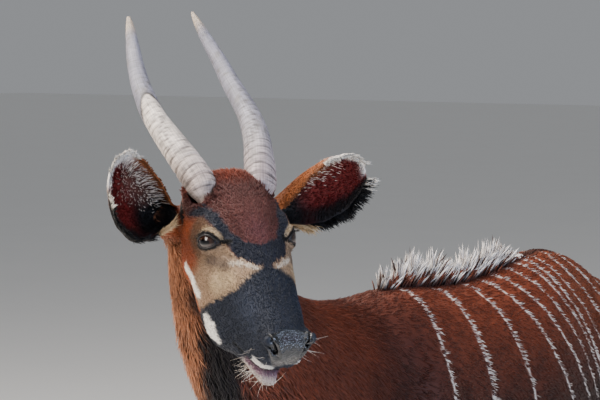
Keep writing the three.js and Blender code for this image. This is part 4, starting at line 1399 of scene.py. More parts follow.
class BONGO_OT_tail(bpy.types.Operator):
    """Hangs the tail's long dark tuft."""

    bl_idname = "bongo.tail"
    bl_label = "Tail tuft"

    def execute(self, context):
        rng = np.random.default_rng(31)
        n = 900
        z = rng.uniform(520, 700, n)
        angle = rng.uniform(0, 2 * math.pi, n)
        out = np.stack([np.cos(angle), np.sin(angle), np.zeros(n)], 1)
        radius = np.interp(z, [500, 560, 700], [4, 13, 15])
        dock = np.stack([np.full(n, HIP_SHIFT), np.full(n, TAIL_BACK), z], 1)
        root = world(dock + out * radius[:, None])
        flow = out * 0.16 + np.array([0, 0, -1.0])
        length = coat().tuft_length * rng.uniform(0.55, 1.0, n) * np.interp(z, [520, 700], [0.85, 0.55])
        bend, sway = 0.1 + 0.06 * rng.random(n), rng.normal(size=n) * 0.06
        made = lock_points(root, out, flow, length, 0.0055, 0.1, bend, sway, 5)
        dark = shades("black", rng.uniform(0.7, 1.5, n))
        spot = np.stack([angle / (2 * math.pi), (z - 500) / 220], 1)
        locks_piece("tail_tuft", made, dark, dark * 1.6, spot, "long")
        self.core()
        return {"FINISHED"}

    def core(self):
        """The end of the tail's dock, which carries the tuft."""
        angle = around(16)
        rings = []
        for z, radius in ((668, 15), (620, 16), (570, 16), (535, 12), (516, 5), (512, 0.4)):
            x, y = HIP_SHIFT + radius * np.cos(angle), TAIL_BACK + radius * np.sin(angle)
            rings.append(world(np.stack([x, y, np.full(16, z)], 1)))
        points, faces = tube(rings)
        tint = shades("black", np.ones(len(points)))
        piece("tail_dock", points, faces, material("short"), tint)


def tube(rings):
    """A closed skin over a row of rings, as places and triangles that face outwards."""
    rings = np.asarray(rings)
    rows, count = rings.shape[:2]
    points = np.concatenate([rings.reshape(-1, 3), [rings[0].mean(0)], [rings[-1].mean(0)]])
    k = np.arange(count)
    beside = (k + 1) % count
    low = count * np.arange(rows - 1)[:, None]
    high = low + count
    halves = [(low + k, low + beside, high + beside), (low + k, high + beside, high + k)]
    side = np.stack([np.stack(half, -1) for half in halves], 1).reshape(-1, 3)
    end = count * (rows - 1)
    foot, tip = np.full(count, end + count), np.full(count, end + count + 1)
    caps = [(foot, beside, k), (tip, end + k, end + beside)]
    faces = np.concatenate([side, *[np.stack(cap, 1) for cap in caps]])
    centred = points - points.mean(0)
    volume = (np.cross(centred[faces[:, 0]], centred[faces[:, 1]]) * centred[faces[:, 2]]).sum()
    return points, faces if volume > 0 else faces[:, ::-1]


SIDES = {"left": -1, "right": 1}
# Ears: the way the ear points and the way its cup faces, as sideways, backwards and upwards.
EARS = {
    "left": ((0.917, -0.167, 0.362), (-0.04, -0.79, -0.62)),
    "right": ((0.734, -0.579, 0.354), (-0.12, -0.94, 0.33)),
}
EAR_ROOT = np.array([92.0, -2.0, -102.0])
EAR_STUB = 30.0  # length of the ear's foot, which belongs to the head
EAR_LENGTH = 224.0
EAR_SKIN = 0.8  # how far the back's skin lies inside the solid
EAR_WALL = 4.4  # how far the cup's skin lies inside it
# share of the length, half width, cup depth, half opening angle in degrees
EAR = np.array([
    [0.0, 26, 27, 128], [0.1, 35, 32, 118], [0.25, 54, 38, 106], [0.42, 71, 39, 96],
    [0.6, 80, 35, 88], [0.78, 75, 27, 80], [0.91, 56, 17, 72], [1.0, 28, 8, 62],
])


def ear_row(share):
    """Half width, cup depth and half opening angle at shares of the ear's length."""
    return smooth_row(EAR, np.interp(share, EAR[:, 0], np.arange(len(EAR))))[:, 1:]


def ear_axes(name):
    """Root, axis, opening and sideways directions of an ear, in the head's frame."""
    side = SIDES[name]
    (aside, *onwards), (open_aside, *open_onwards) = EARS[name]
    axis = unit(level(side * aside, *onwards))
    opening = level(side * open_aside, *open_onwards)
    opening = unit(opening - axis * (opening @ axis))
    across = np.cross(axis, opening)
    return EAR_ROOT * np.array([side, 1, 1]), axis, opening, across


def ear_place(name, share, turn, inset):
    """Places on an ear's shell: share of its length, turn from -1 to 1 across it, inset from its back."""
    root, axis, opening, across = ear_axes(name)
    wide, deep, limit = ear_row(share).T
    angle = np.radians(limit) * turn
    start = root + axis * (EAR_STUB + 0.3)
    # The margins are a little crinkled.
    crinkle = 1 + 0.025 * np.sin(share * 26 + turn * 2) * np.abs(turn) ** 3
    sideways = (wide * crinkle - inset) * np.sin(angle)
    out = deep * 0.3 - (deep - inset) * np.cos(angle)
    along = start + np.outer(share * (EAR_LENGTH - EAR_STUB), axis)
    return along + np.outer(sideways, across) + np.outer(out, opening)


def ear_colour(name, share, turn, inner):
    """The ear's colours: orange back, dark hollow, black lower margin, white upper rim."""
    upper = turn * (1 if name == "right" else -1)
    n = len(share)
    fuzz = 0.05 * np.sin(share * 31 + turn * 9)
    orange = mix(shades("#b07448", np.ones(n)), "#3a2014", 0.6 * step(share, 0.66, 0.95))
    hollow = mix(shades("#7a2622", np.ones(n)), "#0b0506", step(-share, -0.46, -0.16))
    colour = np.where(inner[:, None], hollow, orange)
    combed = "#7d5a50" if name == "right" else "#9a6e48"
    middle_part = (1 - step(share, 0.5, 0.74)) * step(share, 0.04, 0.2)
    streak = 0.85 * inner * step(upper + fuzz, -0.02, 0.4) * middle_part
    colour = mix(colour, combed, streak)
    dark_edge = step(-upper + fuzz, 0.42, 0.8) * step(share, 0.2, 0.45)
    colour = mix(colour, "black", 0.94 * dark_edge)
    colour = mix(colour, "#b97f52", 0.8 * inner * step(upper, 0.8, 0.98) * (1 - step(share, 0.5, 0.75)))
    rim = step(upper + fuzz, 0.62, 0.84) * step(share, 0.5, 0.7)
    rim = rim + step(share, 0.9, 0.96) * step(upper, -0.6, 0.1)
    return mix(colour, "white", 0.94 * rim)


class BONGO_OT_ears(bpy.types.Operator):
    """Builds both ears: curved shells with short hair outside, long hair in the cup and fringed margins."""

    bl_idname = "bongo.ears"
    bl_label = "Ears"

    def execute(self, context):
        for name in EARS:
            self.shell(name)
            self.hair(name)
            self.fringe(name)
        return {"FINISHED"}

    def shell(self, name):
        """The ear's cartilage and skin as one closed shell, sunk a little into its stub."""
        rows, half = 56, 33
        turn = np.linspace(-1, 1, half)
        back, cup = np.zeros(half, bool), np.ones(half, bool)
        rings, tints = [], []
        for s in np.linspace(-0.09, 1, rows):
            at = np.full(half, max(s, 0.0))
            wall = min(EAR_WALL, ear_row([at[0]])[0, 1] * 0.5)
            outer = ear_place(name, at, turn, EAR_SKIN)
            inner = ear_place(name, at, turn[::-1] * 0.975, wall)
            shift = (s - at[0]) * (EAR_LENGTH - EAR_STUB) * ear_axes(name)[1]
            rings.append(from_head(np.concatenate([outer, inner]) + shift))
            tints += [ear_colour(name, at, turn, back), ear_colour(name, at, turn[::-1], cup)]
        points, faces = tube(rings)
        ends = [np.concatenate(tints[:2]).mean(0), np.concatenate(tints[-2:]).mean(0)]
        tint = np.concatenate([*tints, ends])
        made = piece(f"ear_skin_{name}", points, faces, material("skin"), tint, [f"ear_{name}"])
        set_value(made.data, "wet", np.zeros(len(points)))

    def surface_frame(self, name, share, turn, inner):
        """Places, outward normals and the ways towards the tip and across, on either face of the ear."""
        inset = np.where(inner, EAR_WALL, EAR_SKIN)
        small = 1e-3
        p = ear_place(name, share, turn, inset)
        ds = ear_place(name, share + small, turn, inset) - p
        dt = ear_place(name, share, turn + small, inset) - p
        normal = unit(np.cross(ds, dt))
        # The way out of the shell's wall is away from the place a little deeper in it.
        deeper = ear_place(name, share, turn, inset + np.where(inner, -2.0, 2.0))
        facing = np.sign((normal * (p - deeper)).sum(1))
        facing[facing == 0] = 1
        ways = (unit(normal * facing[:, None]), unit(ds), unit(dt))
        return from_head(p), *[way @ HEAD_AXES for way in ways]

    def hair(self, name):
        """Short hair on the back of the ear and long, combed hair inside its cup."""
        rng = np.random.default_rng(41 if name == "left" else 42)
        n = coat().ear_tufts
        share = rng.random(n) ** 0.8 * 0.97
        turn = rng.uniform(-0.97, 0.97, n)
        inner = rng.random(n) < 0.42
        upper = turn * (1 if name == "right" else -1)
        root, normal, tip, across = self.surface_frame(name, share, turn, inner)
        inwards = -np.sign(turn)[:, None] * across
        combed = np.where(inner, 0.9 * step(np.abs(turn), 0.3, 0.8), 0.0)[:, None]
        flow = tip * (1 - 0.45 * combed) + inwards * combed + rng.normal(size=(n, 3)) * 0.12
        in_cup = 0.010 + 0.012 * step(np.abs(turn), 0.3, 0.8) * (1 - step(share, 0.6, 0.9))
        length = np.where(inner, in_cup, 0.0095)
        length = length * rng.uniform(0.7, 1.2, n)
        width = np.where(inner, 0.0016, 0.0021)
        lift = np.where(inner, 0.5, 0.2) * rng.uniform(0.6, 1.4, n)
        bend = np.where(inner, 0.05, lift * 0.6)
        made = lock_points(root, normal, flow, length, width, lift, bend, rng.normal(size=n) * 0.1, 2)
        tint = ear_colour(name, share, turn, inner)
        pale = inner & (rng.random(n) < 0.55 * step(upper, -0.15, 0.3) * (1 - step(share, 0.55, 0.85)))
        tint = np.where(pale[:, None], linear("#efe3d6"), tint) * rng.uniform(0.75, 1.2, n)[:, None]
        spot = np.stack([np.clip(share, 0, 1), np.where(inner, 0.25, 0.75) + turn * 0.23], 1)
        locks_piece(f"ear_coat_{name}", made, tint * 0.7, tint * 1.15, spot, "short")

    def fringe(self, name):
        """Longer locks that stand out past the ear's two margins and its tip."""
        rng = np.random.default_rng(51 if name == "left" else 52)
        n = 1500
        share = rng.uniform(0.06, 0.995, n)
        edge = np.where(rng.random(n) < 0.5, -1.0, 1.0)
        upper = edge * (1 if name == "right" else -1)
        turn = edge * rng.uniform(0.9, 0.995, n)
        inner = rng.random(n) < 0.5
        root, normal, tip, across = self.surface_frame(name, share, turn, inner)
        outwards = across * edge[:, None]
        opening = ear_axes(name)[2]
        flow = outwards + tip * (0.45 + 0.8 * step(share, 0.75, 1))[:, None] + opening @ HEAD_AXES * 0.15
        flow = flow + rng.normal(size=(n, 3)) * 0.16
        base = coat().fringe_length
        long_ = base * (0.45 + 0.55 * (upper < 0) + 0.25 * step(share, 0.8, 1)) * rng.uniform(0.5, 1.15, n)
        long_ = np.where((upper > 0) & (share < 0.55), long_ * 0.5, long_)
        # Long pale hair at the foot of the front margin.
        foot = (share < 0.3) & (upper < 0)
        long_ = np.where(foot, base * rng.uniform(0.9, 1.5, n), long_)
        bend, sway = 0.08 * rng.normal(size=n), rng.normal(size=n) * 0.12
        made = lock_points(root, normal, flow, long_, 0.0021, 0.12, bend, sway, 3)
        dark = shades("black", rng.uniform(0.7, 1.8, n))
        white = shades("#efe9df", rng.uniform(0.7, 1.0, n))
        orange = shades("#96653f", rng.uniform(0.7, 1.15, n))
        cream = shades("#d9c09b", rng.uniform(0.75, 1.05, n))
        tint = np.where((upper < 0)[:, None], dark, orange)
        tint = np.where(((upper > 0) & (share > 0.55))[:, None], white, tint)
        tint = np.where((share > 0.93)[:, None] & (rng.random(n) < 0.7)[:, None], white, tint)
        tint = np.where(foot[:, None], cream, tint)
        spot = np.stack([share, 0.5 + 0.45 * turn], 1)
        locks_piece(f"ear_fringe_{name}", made, tint * 0.75, tint * 1.1, spot, "long")


# Horns: sideways, backwards and upwards from midway between their bases, and the radius.
HORN = np.array([
    [53, -20, -46, 26], [58, -6, -20, 29], [63, 6, 4, 29], [75, 33, 36, 28],
    [87, 68, 70, 25.5], [95, 113, 105, 22.5], [97.5, 164, 141, 20], [95, 213, 178, 17.5],
    [90, 254, 217, 15], [82, 291, 255, 12], [75, 322, 291, 8], [71, 340, 313, 3],
], float)
HORN_SHARES = {"left": 1.0, "right": 0.965}  # the right horn is a little worn down
KEEL_WIND = 6.0  # how far the keel winds round the horn, in radians
PEEL_PLACE = 0.5  # share of the right horn's length up to which its outer layer has come away


class BONGO_OT_horns(bpy.types.Operator):
    """Builds both horns with their keel, their growth rings and their worn tips."""

    bl_idname = "bongo.horns"
    bl_label = "Horns"

    def execute(self, context):
        for name, side in SIDES.items():
            self.horn(name, side, HORN_SHARES[name])
        return {"FINISHED"}

    def horn(self, name, side, share):
        """One horn's surface, closed at both ends, with its colours and its map."""
        rows, count = 230, 48
        t = np.linspace(0, 1, rows)
        table = smooth_row(HORN, t * (len(HORN) - 1))
        place = np.stack([level(side * x * share, back * share, up * share) for x, back, up, _ in table])
        # The buried foot tapers to its end.
        radius = table[:, 3] * (0.45 + 0.55 * step(t, 0.02, 0.16))
        ahead = unit(np.gradient(place, axis=0))
        across = unit(np.cross(ahead, [0, 0, 1.0]))
        up = np.cross(across, ahead)
        length = np.concatenate([[0], np.cumsum(np.linalg.norm(np.diff(place, axis=0), axis=1))])
        angle = around(count)
        grid_t, grid_a = np.meshgrid(t, angle, indexing="ij")
        keel = 1 + 0.1 * np.cos(grid_a - side * (0.8 + grid_t * KEEL_WIND)) ** 3
        along = length[:, None] + 3 * np.sin(grid_a * 2 + grid_t * 5)
        rings = self.growth_rings(grid_t, grid_a, along)
        groove, pit = self.flaws(side, grid_t, grid_a, along)
        reach = radius[:, None] * keel + rings + groove + pit
        # The right horn's outer layer has come away below a slanting edge.
        past_edge = grid_t - PEEL_PLACE - 0.07 * np.cos(grid_a - 1.9)
        if side > 0:
            reach = reach + 0.9 * step(past_edge, -0.004, 0.004)
        sideways = across[:, None] * (reach * np.cos(grid_a))[..., None]
        shell = place[:, None] + sideways + up[:, None] * (reach * np.sin(grid_a))[..., None]
        points, faces = tube(from_head(shell))
        tint = self.colours(side, grid_t, past_edge, rings, design(from_head(shell.reshape(-1, 3))))
        replaced = [f"horn_{name}"]
        made = piece(f"horn_sheath_{name}", points, faces, material("horn"), tint, replaced)
        # The map's U is in tenths of a metre.
        u = np.concatenate([np.repeat(length, count) / 100, [0, length[-1] / 100]])
        v = np.concatenate([np.abs(np.tile(angle, rows) / math.pi - 1), [0.5, 0.5]])
        set_uv(made.data, "horn", np.stack([u, v], 1), faces.ravel())

    def growth_rings(self, grid_t, grid_a, along):
        """Rings about 10 mm apart low down, closer and fainter higher up, and none on the buried foot."""
        beat = along * 2 * math.pi / (10.5 - 3.5 * grid_t) + 1.3 * np.sin(along / 31)
        fade = np.clip(1 - grid_t * 1.15, 0.06, 1) * (grid_t > 0.12)
        flaw = 0.5 + 0.5 * np.sin(grid_a * 3 + along / 23) * np.sin(grid_a + along / 41 + 2)
        waves = 0.55 * np.sin(beat) + 0.5 * np.sin(beat * 0.47 + 1) + 0.5 * np.sin(beat * 2.3)
        return waves * fade * (0.35 + flaw)

    def flaws(self, side, grid_t, grid_a, along):
        """One deeper groove low on each horn, and fine pits all over."""
        depth, middle, half = (1.4, 96, 2.2) if side > 0 else (0.8, 70, 2.0)
        groove = -depth * np.exp(-(((along - middle) / half) ** 2))
        pit = 0.16 * np.sin(grid_a * 17 + np.sin(grid_t * 40) * 1.5) + 0.12 * np.sin(grid_a * 9 + along / 13)
        return groove, pit * np.clip(1.1 - grid_t, 0.3, 1)

    def colours(self, side, grid_t, past_edge, rings, place):
        """Weathered grey over ivory, pinkish low down and worn at the tip, darker in the troughs of the
        rings.
        """
        t = grid_t.ravel()
        worn = step(t, 0.84, 0.92)
        bare = 1 - step(past_edge, -0.006, 0.006) if side > 0 else 0.35 * (1 - step(grid_t, 0.2, 0.6))
        tint = mix(shades("#a3a2ad", np.ones(len(t))), "ivory", bare.ravel())
        tint = mix(tint, "#cfb3ad", 0.4 * (1 - step(t, 0.15, 0.4)))
        tint = mix(tint, "#cdbfae", 0.9 * worn)
        stain = step(ripple(place, 52) + 0.6 * ripple(place, 17, 3.0), 0.0, 0.9) * (1 - worn)
        tint = mix(tint, "horn_grey", 0.55 * stain)
        # Darker in the troughs of the growth rings.
        tint = mix(tint, "#4a403d", 0.8 * np.clip(-rings * 1.3, 0, 1).ravel())
        if side > 0:
            crack = np.exp(-((past_edge / 0.006) ** 2))
            tint = mix(tint, "#2c2320", 0.85 * crack.ravel())
        return np.concatenate([tint, tint[:1], tint[-1:]])


class BONGO_OT_eyes(bpy.types.Operator):
    """Builds the eyes, the moist margins of their lids and their lashes."""

    bl_idname = "bongo.eyes"
    bl_label = "Eyes"

    def execute(self, context):
        for name, side in SIDES.items():
            self.ball(name, side)
            self.margin(name, side)
            self.lashes(name, side)
        return {"FINISHED"}

    def ball(self, name, side):
        """The eyeball with its map, whose middle is where it looks."""
        middle, look, along, short = eye_axes(side)
        rows, count = 40, 56
        polar = np.linspace(0.02, math.pi - 0.02, rows)
        turn = around(count)
        # The cornea bulges out of the ball.
        bulge = 1 + 0.035 * np.exp(-((polar / 0.62) ** 4))
        rings, gaze = [], []
        for angle, grow in zip(polar, bulge):
            r = BALL * 0.985 * grow
            flat = np.outer(np.cos(turn), along) + np.outer(np.sin(turn), short)
            rings.append(from_head(middle + r * (look * math.cos(angle) + flat * math.sin(angle))))
            gaze.append(np.stack([math.sin(angle) * np.cos(turn), math.sin(angle) * np.sin(turn)], 1))
        points, faces = tube(rings)
        made = piece(f"eyeball_{name}", points, faces, material("eye"), None, [f"eye_{name}"])
        uv = np.concatenate([np.concatenate(gaze), [[0, 0], [0, 0]]])
        back = np.concatenate([np.repeat(polar > math.pi / 2, count), [False, True]])
        uv[back] = unit(uv[back] + 1e-6)
        set_uv(made.data, "gaze", 0.5 + 0.5 * uv, faces.ravel())

    def edge_curve(self, side, a, upper, reach):
        """Places along a lid's edge, on a sphere a little larger than the eye."""
        middle, look, along, short = eye_axes(side)
        b = lid_edge(a, upper) * np.where(upper, 1, -1)
        c = np.sqrt(np.maximum(reach**2 - a**2 - b**2, 1))
        return middle + np.outer(a, along) + np.outer(b, short) + np.outer(c, look)

    def margin(self, name, side):
        """The moist rim round the lids' opening."""
        sweep = around(88)
        a = EYE_LONG * np.cos(sweep) * 0.995
        upper = np.sin(sweep) >= 0
        centre = self.edge_curve(side, a, upper, BALL + 0.9)
        middle = eye_axes(side)[0]
        ahead = unit(np.roll(centre, -1, 0) - np.roll(centre, 1, 0))
        out = unit(centre - middle)
        across = np.cross(ahead, out)
        turn = around(8)[None, :, None]
        thick = np.where(upper, 1.75, 1.35)[:, None, None]
        rings = centre[:, None] + thick * (across[:, None] * np.cos(turn) + out[:, None] * np.sin(turn))
        rows, count = rings.shape[:2]
        points = from_head(rings.reshape(-1, 3))
        r, k = np.meshgrid(np.arange(rows), np.arange(count), indexing="ij")
        steps = ((0, 0), (1, 0), (1, 1), (0, 1))
        faces = np.stack([(r + i) % rows * count + (k + j) % count for i, j in steps], -1).reshape(-1, 4)
        normals = face_normals(points, faces)
        spine = from_head(centre)[faces[:, 0] // count]
        if ((points[faces].mean(1) - spine) * normals).sum() < 0:
            faces = faces[:, ::-1]
        piece(f"lid_margin_{name}", points, faces, material("lid"))

    def lashes(self, name, side):
        """Lashes along the upper lid."""
        rng = np.random.default_rng(61)
        n = 70
        a = rng.uniform(-0.9, 0.96, n) * EYE_LONG
        upper = np.ones(n, bool)
        root = self.edge_curve(side, a, upper, BALL + 1.6)
        middle, _, along, short = eye_axes(side)
        out = unit(root - middle)
        spread = along * (a / EYE_LONG * 0.45)[:, None]
        flow = (out * 0.8 + short * 0.45 + spread + rng.normal(size=(n, 3)) * 0.08) @ HEAD_AXES
        droop = unit(np.tile(-short, (n, 1)) + out * 0.2)
        length, sway = 0.0115 * rng.uniform(0.6, 1.1, n), rng.normal(size=n) * 0.1
        shape = {"stations": 4, "thick": 0.5, "sink": 0.0}
        droop = -droop @ HEAD_AXES
        made = lock_points(from_head(root), droop, flow, length, 0.0008, 0.1, 0.25, sway, **shape)
        dark = shades("#0c0a0a", np.ones(n))
        spot = np.stack([(a / EYE_LONG + 1) / 2, np.full(n, 0.5)], 1)
        locks_piece(f"lashes_{name}", made, dark, dark * 1.5, spot, "long")


LEG_HEIGHT = 700  # where a leg's set to the front or the back starts, in millimetres


class BONGO_OT_hooves(bpy.types.Operator):
    """Rounds the hooves and sets the dewclaws behind the fetlocks."""

    bl_idname = "bongo.hooves"
    bl_label = "Hooves"

    def execute(self, context):
        for name in HOOVES:
            shell = node_shell(name)
            bmesh.ops.dissolve_limit(shell, angle_limit=0.02, verts=shell.verts[:], edges=shell.edges[:])
            floor = min(v.co.z for v in shell.verts)
            crease = shell.edges.layers.float.new("crease_edge")
            for e in shell.edges:
                # The sole stays flat and sharp, and the other edges soften.
                if all(v.co.z - floor < 0.0005 for v in e.verts):
                    e[crease] = 1.0
                elif len(e.link_faces) == 2 and e.calc_face_angle() > 1.0:
                    e[crease] = 0.5
            rough = object_from(name + "_shape", baked_mesh(shell, name + "_shape"))
            rounding = rough.modifiers.new("rounding", "SUBSURF")
            rounding.levels = 3
            rounding.render_levels = 3
            smooth = evaluated(rough)
            smooth.polygons.foreach_set("use_smooth", np.ones(len(smooth.polygons), bool))
            smooth.name = name.replace("hoof", "hoof_horn")
            finish_piece(object_from(smooth.name, smooth, material("hoof")), [name])
        self.dewclaws()
        return {"FINISHED"}

    def dewclaws(self):
        """Two small blunt claws behind each fetlock."""
        # fetlock height, sideways place, half width, back line, how far the foot is set back, side, shift
        feet = [
            (130, 110, 26, -381, -12, 1, 0.0),
            (130, 110, 26, -381, 16, -1, 0.0),
            (136, 114, 27, 562, 20, 1, HIP_SHIFT),
            (136, 114, 27, 562, -18, -1, HIP_SHIFT),
        ]
        turn = around(14)
        points, faces = [], []
        for z, x, wide, line, set_back, side, shift in feet:
            back = line + set_back * (1 - z / LEG_HEIGHT)
            for inner in (-1, 1):
                middle = np.array([shift + side * (x + inner * wide * 0.52), back - 2, z - 14])
                rings = []
                for share in np.linspace(0, 1, 9):
                    size = 10.5 * math.sqrt(max(1 - (share * 0.97) ** 2.6, 0.003))
                    centre = middle + np.array([0, 4 + 3 * share, 10 - 28 * share])
                    ring = [size * np.cos(turn), size * 0.75 * np.sin(turn), np.zeros(len(turn))]
                    rings.append(centre + np.stack(ring, 1))
                claw, claw_faces = tube(world(rings))
                faces.append(claw_faces + sum(len(done) for done in points))
                points.append(claw)
        piece("dewclaws", np.concatenate(points), np.concatenate(faces), material("hoof"))


BRISTLE_SIDES = 5
BRISTLE_PARTS = 7  # parts along a bristle, so it can bend


def whisker_tree():
    """Geometry nodes that set bent, tapering bristles on a patch of skin."""
    tree = bpy.data.node_groups.new("bristles", "GeometryNodeTree")
    sockets = tree.interface
    sockets.new_socket("Geometry", in_out="INPUT", socket_type="NodeSocketGeometry")
    for label, kind, value in (
        ("Density", "NodeSocketFloat", 9000.0),
        ("Seed", "NodeSocketInt", 3),
        ("Length", "NodeSocketFloat", 0.04),
        ("Thickness", "NodeSocketFloat", 0.0004),
        ("Bend", "NodeSocketFloat", 0.25),
    ):
        sockets.new_socket(label, in_out="INPUT", socket_type=kind).default_value = value
    sockets.new_socket("Material", in_out="INPUT", socket_type="NodeSocketMaterial")
    sockets.new_socket("Geometry", in_out="OUTPUT", socket_type="NodeSocketGeometry")
    wanted = node(tree, "NodeGroupInput").outputs
    grown = {key: wanted[key] for key in ("Density", "Seed")}
    spread = node(tree, "GeometryNodeDistributePointsOnFaces", {}, Mesh=wanted["Geometry"], **grown)
    # A cone from the bristle's thickness down to its fine tip.
    bristle = node(tree, "GeometryNodeMeshCone", {}, Vertices=BRISTLE_SIDES, Side_Segments=BRISTLE_PARTS)
    wire(tree, bristle, Radius_Top=0.00008, Radius_Bottom=wanted["Thickness"], Depth=wanted["Length"])
    place = node(tree, "GeometryNodeInputPosition")
    parts = node(tree, "ShaderNodeSeparateXYZ", {}, Vector=place)
    share = node(tree, "ShaderNodeMath", {"operation": "DIVIDE"}, i0=parts.outputs[2], i1=wanted["Length"])
    square = node(tree, "ShaderNodeMath", {"operation": "MULTIPLY"}, i0=share, i1=parts.outputs[2])
    curve = node(tree, "ShaderNodeMath", {"operation": "MULTIPLY"}, i0=square, i1=wanted["Bend"])
    shift = node(tree, "ShaderNodeCombineXYZ", {}, X=curve)
    bent = node(tree, "GeometryNodeSetPosition", {}, Geometry=bristle, Offset=shift)
    # Each bristle leans up to 26 degrees from the skin's normal and turns any way about it.
    tilt = {"i0": (-0.45, -0.45, -3.1), "i1": (0.45, 0.45, 3.1)}
    jitter = node(tree, "FunctionNodeRandomValue", {"data_type": "FLOAT_VECTOR"}, **tilt)
    turned = node(tree, "FunctionNodeRotateRotation", {"rotation_space": "LOCAL"}, i1=jitter)
    wire(tree, turned, i0=spread.outputs["Rotation"])
    size = node(tree, "FunctionNodeRandomValue", {"data_type": "FLOAT"}, i2=0.35, i3=1.0)
    placed = node(tree, "GeometryNodeInstanceOnPoints", {}, Points=spread.outputs["Points"])
    wire(tree, placed, Instance=bent, Rotation=turned, Scale=size.outputs[1])
    real = node(tree, "GeometryNodeRealizeInstances", {}, Geometry=placed)
    dressed = node(tree, "GeometryNodeSetMaterial", {}, Geometry=real, Material=wanted["Material"])
    node(tree, "NodeGroupOutput", {}, i0=dressed)
    return tree


class BONGO_OT_whiskers(bpy.types.Operator):
    """Sets the pale bristles of chin, lips and nose, and the fringe of the throat."""

    bl_idname = "bongo.whiskers"
    bl_label = "Whiskers and throat fringe"

    def execute(self, context):
        points, faces = SKINS["head"]
        q = to_head(points)
        m = mouth_height(q)
        chin = (q[:, 1] > 318) & (m < -9)
        lips = (q[:, 1] > 318) & (q[:, 1] < 372) & (m > 7) & (m < 34)
        lips = lips & (pad_share(q) < 0.2) & (np.abs(q[:, 0]) > 30)
        length = coat().whisker_length
        self.bristles("whiskers_chin", points, faces, chin, 16000.0, length * 0.75, 3)
        self.bristles("whiskers_lips", points, faces, lips, 7000.0, length, 4)
        self.throat()
        return {"FINISHED"}

    def bristles(self, name, points, faces, chosen, density, length, seed):
        """Bristles on the chosen part of the skin."""
        patch = object_from(name + "_patch", mesh_from(name + "_patch", *kept(points, faces, chosen)))
        tree = whisker_tree()
        modifier = patch.modifiers.new("bristles", "NODES")
        modifier.node_group = tree
        values = {"Density": density, "Seed": seed, "Length": length, "Thickness": 0.00042, "Bend": 0.3}
        values["Material"] = material("whisker")
        for item in tree.interface.items_tree:
            if item.in_out == "INPUT" and item.name in values:
                modifier[item.identifier] = values[item.name]
        mesh = evaluated(patch)
        mesh.name = name
        mesh.polygons.foreach_set("use_smooth", np.ones(len(mesh.polygons), bool))
        self.bake_map(mesh)
        finish_piece(object_from(name, mesh))

    def bake_map(self, mesh):
        """A small patch for each bristle at its root's place on the head's unwrap."""
        number = np.arange(BRISTLE_SIDES * (BRISTLE_PARTS + 1))
        places = np.empty(len(mesh.vertices) * 3, np.float32)
        mesh.vertices.foreach_get("co", places)
        # A bristle's last ring is at its root.
        root = places.reshape(-1, len(number), 3)[:, -BRISTLE_SIDES:].mean(1)
        across, along = number % BRISTLE_SIDES, number // BRISTLE_SIDES
        patch = np.stack([across / BRISTLE_SIDES, along / (BRISTLE_PARTS + 1)], 1) * PATCH
        uv = (round_head(to_head(root)) * (1 - PATCH))[:, None] + patch
        corners = np.empty(len(mesh.loops), np.int32)
        mesh.loops.foreach_get("vertex_index", corners)
        set_uv(mesh, "OFBake", uv.reshape(-1, 2), corners)

    def throat(self):
        """Longer hair that hangs from the throat and the nape's foot."""
        rng = np.random.default_rng(71)
        points, faces = SKINS["body"]
        p = design(points)
        normals = point_normals(points, faces)
        front = step(-normals[:, 1], 0.35, 0.8) * step(-p[:, 1], 560, 700) * step(p[:, 2], 760, 900)
        below_head = 1 - step((p - HEAD_SEAM) @ NECK_AXIS, 20, 40)
        n = 2600
        root, normal = scattered(points, faces, n, 72, front * below_head)
        place = design(root)
        flow = body_flow(place) + normal * 0.1 + rng.normal(size=(n, 3)) * 0.14
        length = 0.046 * rng.uniform(0.6, 1.2, n)
        made = lock_points(root, normal, flow, length, 0.0036, 0.34, 0.12, rng.normal(size=n) * 0.1, 3)
        tint = body_colour(place) * rng.uniform(0.8, 1.2, n)[:, None]
        locks_piece("throat_fringe", made, tint * 0.7, tint * 1.15, round_trunk(place), "long")


def aimed(name, data, place, target):
    """A camera or a lamp at a place, turned towards another."""
    made = object_from(name, data)
    made.location = world(place)
    made.rotation_euler = Vector(np.subtract(target, place)).to_track_quat("-Z", "Y").to_euler()
    return made


# Photograph: 600 by 400 pixels, a long lens from ahead and to the left of the animal.
CAMERA_PLACE = np.array([2182.74, -3681.82, 1644.0])
CAMERA_TARGET = np.array([132.56, -859.99, 1354.09])
FOCAL_PIXELS = 1931.64
IMAGE_WIDTH = 600
SENSOR_WIDTH = 36.0
FLOOR_REACH = 40.0


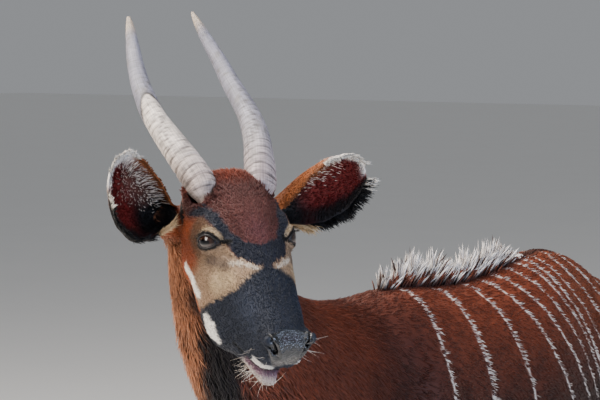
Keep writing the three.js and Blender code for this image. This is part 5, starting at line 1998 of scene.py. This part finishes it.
class BONGO_OT_stage(bpy.types.Operator):
    """Sets the camera, the pale floor and the soft lights."""

    bl_idname = "bongo.stage"
    bl_label = "Stage"

    def execute(self, context):
        self.camera()
        self.floor()
        self.lights()
        return {"FINISHED"}

    def camera(self):
        """The photograph's own view."""
        data = bpy.data.cameras.new("camera")
        data.sensor_width = SENSOR_WIDTH
        data.lens = FOCAL_PIXELS * SENSOR_WIDTH / IMAGE_WIDTH
        data.clip_end = 200
        bpy.context.scene.camera = aimed("camera", data, CAMERA_PLACE, CAMERA_TARGET)

    def floor(self):
        """A plain pale floor, just under the hooves."""
        made, tree, shader = new_material("studio_floor")
        place = node(tree, "ShaderNodeTexCoord").outputs["Object"]
        cloud = node(tree, "ShaderNodeTexNoise", {}, Vector=place, Scale=1.5)
        ramp = node(tree, "ShaderNodeValToRGB", {}, Fac=cloud)
        set_stops(ramp, [(0, linear("#f1f0ed")), (1, linear("#f5f4f1"))])
        wire(tree, shader, Base_Color=ramp, Roughness=0.9)
        corners = np.array([[-1, -1, 0], [1, -1, 0], [1, 1, 0], [-1, 1, 0]]) * FLOOR_REACH
        corners[:, 2] = -0.0005
        object_from("floor", mesh_from("floor", corners, np.array([[0, 1, 2, 3]])), made)

    def lights(self):
        """A dim world and four soft lamps."""
        studio = bpy.data.worlds.new("studio")
        studio.use_nodes = True
        background = studio.node_tree.nodes["Background"]
        wire(studio.node_tree, background, i0=rgba(linear("#e6e9ee")), i1=0.36)
        bpy.context.scene.world = studio
        # name, place, target, size, power, colour
        lamps = [
            ("sky", (-1500, -1500, 4300), (0, -500, 1000), 3.2, 330, "#fff7ee"),
            ("key", (-1100, -3900, 2700), (0, -900, 1250), 1.6, 120, "#fff4e8"),
            ("rim", (-2600, 900, 2600), (-40, -700, 1200), 2.2, 42, "#ffe9d2"),
            ("blue", (3600, -1500, 2500), (100, -700, 1250), 2.0, 130, "#cfe0ff"),
        ]
        for name, place, target, size, power, code in lamps:
            data = bpy.data.lights.new(name, "AREA")
            data.size = size
            data.energy = power
            data.color = linear(code)
            aimed(name, data, place, target)


OPERATORS = [
    BONGO_OT_skin, BONGO_OT_ears, BONGO_OT_horns, BONGO_OT_eyes, BONGO_OT_hooves, BONGO_OT_coat,
    BONGO_OT_mane, BONGO_OT_tail, BONGO_OT_whiskers, BONGO_OT_stage,
]


class BONGO_PT_panel(bpy.types.Panel):
    """Sizes, colours and the steps that build the antelope."""

    bl_idname = "BONGO_PT_panel"
    bl_label = "Bongo antelope"
    bl_space_type = "VIEW_3D"
    bl_region_type = "UI"
    bl_category = "Bongo"

    def draw(self, context):
        layout = self.layout
        for group in (context.scene.bongo_coat, context.scene.bongo_colours):
            box = layout.box()
            for key in group.bl_rna.properties.keys():
                if key not in ("rna_type", "name"):
                    box.prop(group, key)
        for operator in OPERATORS:
            layout.operator(operator.bl_idname)


CLASSES = [BongoCoat, BongoColours, *OPERATORS, BONGO_PT_panel]


def register():
    """Registers the classes and their settings."""
    for made in CLASSES:
        bpy.utils.register_class(made)
    bpy.types.Scene.bongo_coat = PointerProperty(type=BongoCoat)
    bpy.types.Scene.bongo_colours = PointerProperty(type=BongoColours)


def unregister():
    """Removes the classes and their settings."""
    del bpy.types.Scene.bongo_coat
    del bpy.types.Scene.bongo_colours
    for made in reversed(CLASSES):
        bpy.utils.unregister_class(made)


def main():
    """Builds every piece in order."""
    register()
    for operator in OPERATORS:
        group, name = operator.bl_idname.split(".")
        getattr(getattr(bpy.ops, group), name)()
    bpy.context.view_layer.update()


if __name__ == "__main__":
    main()
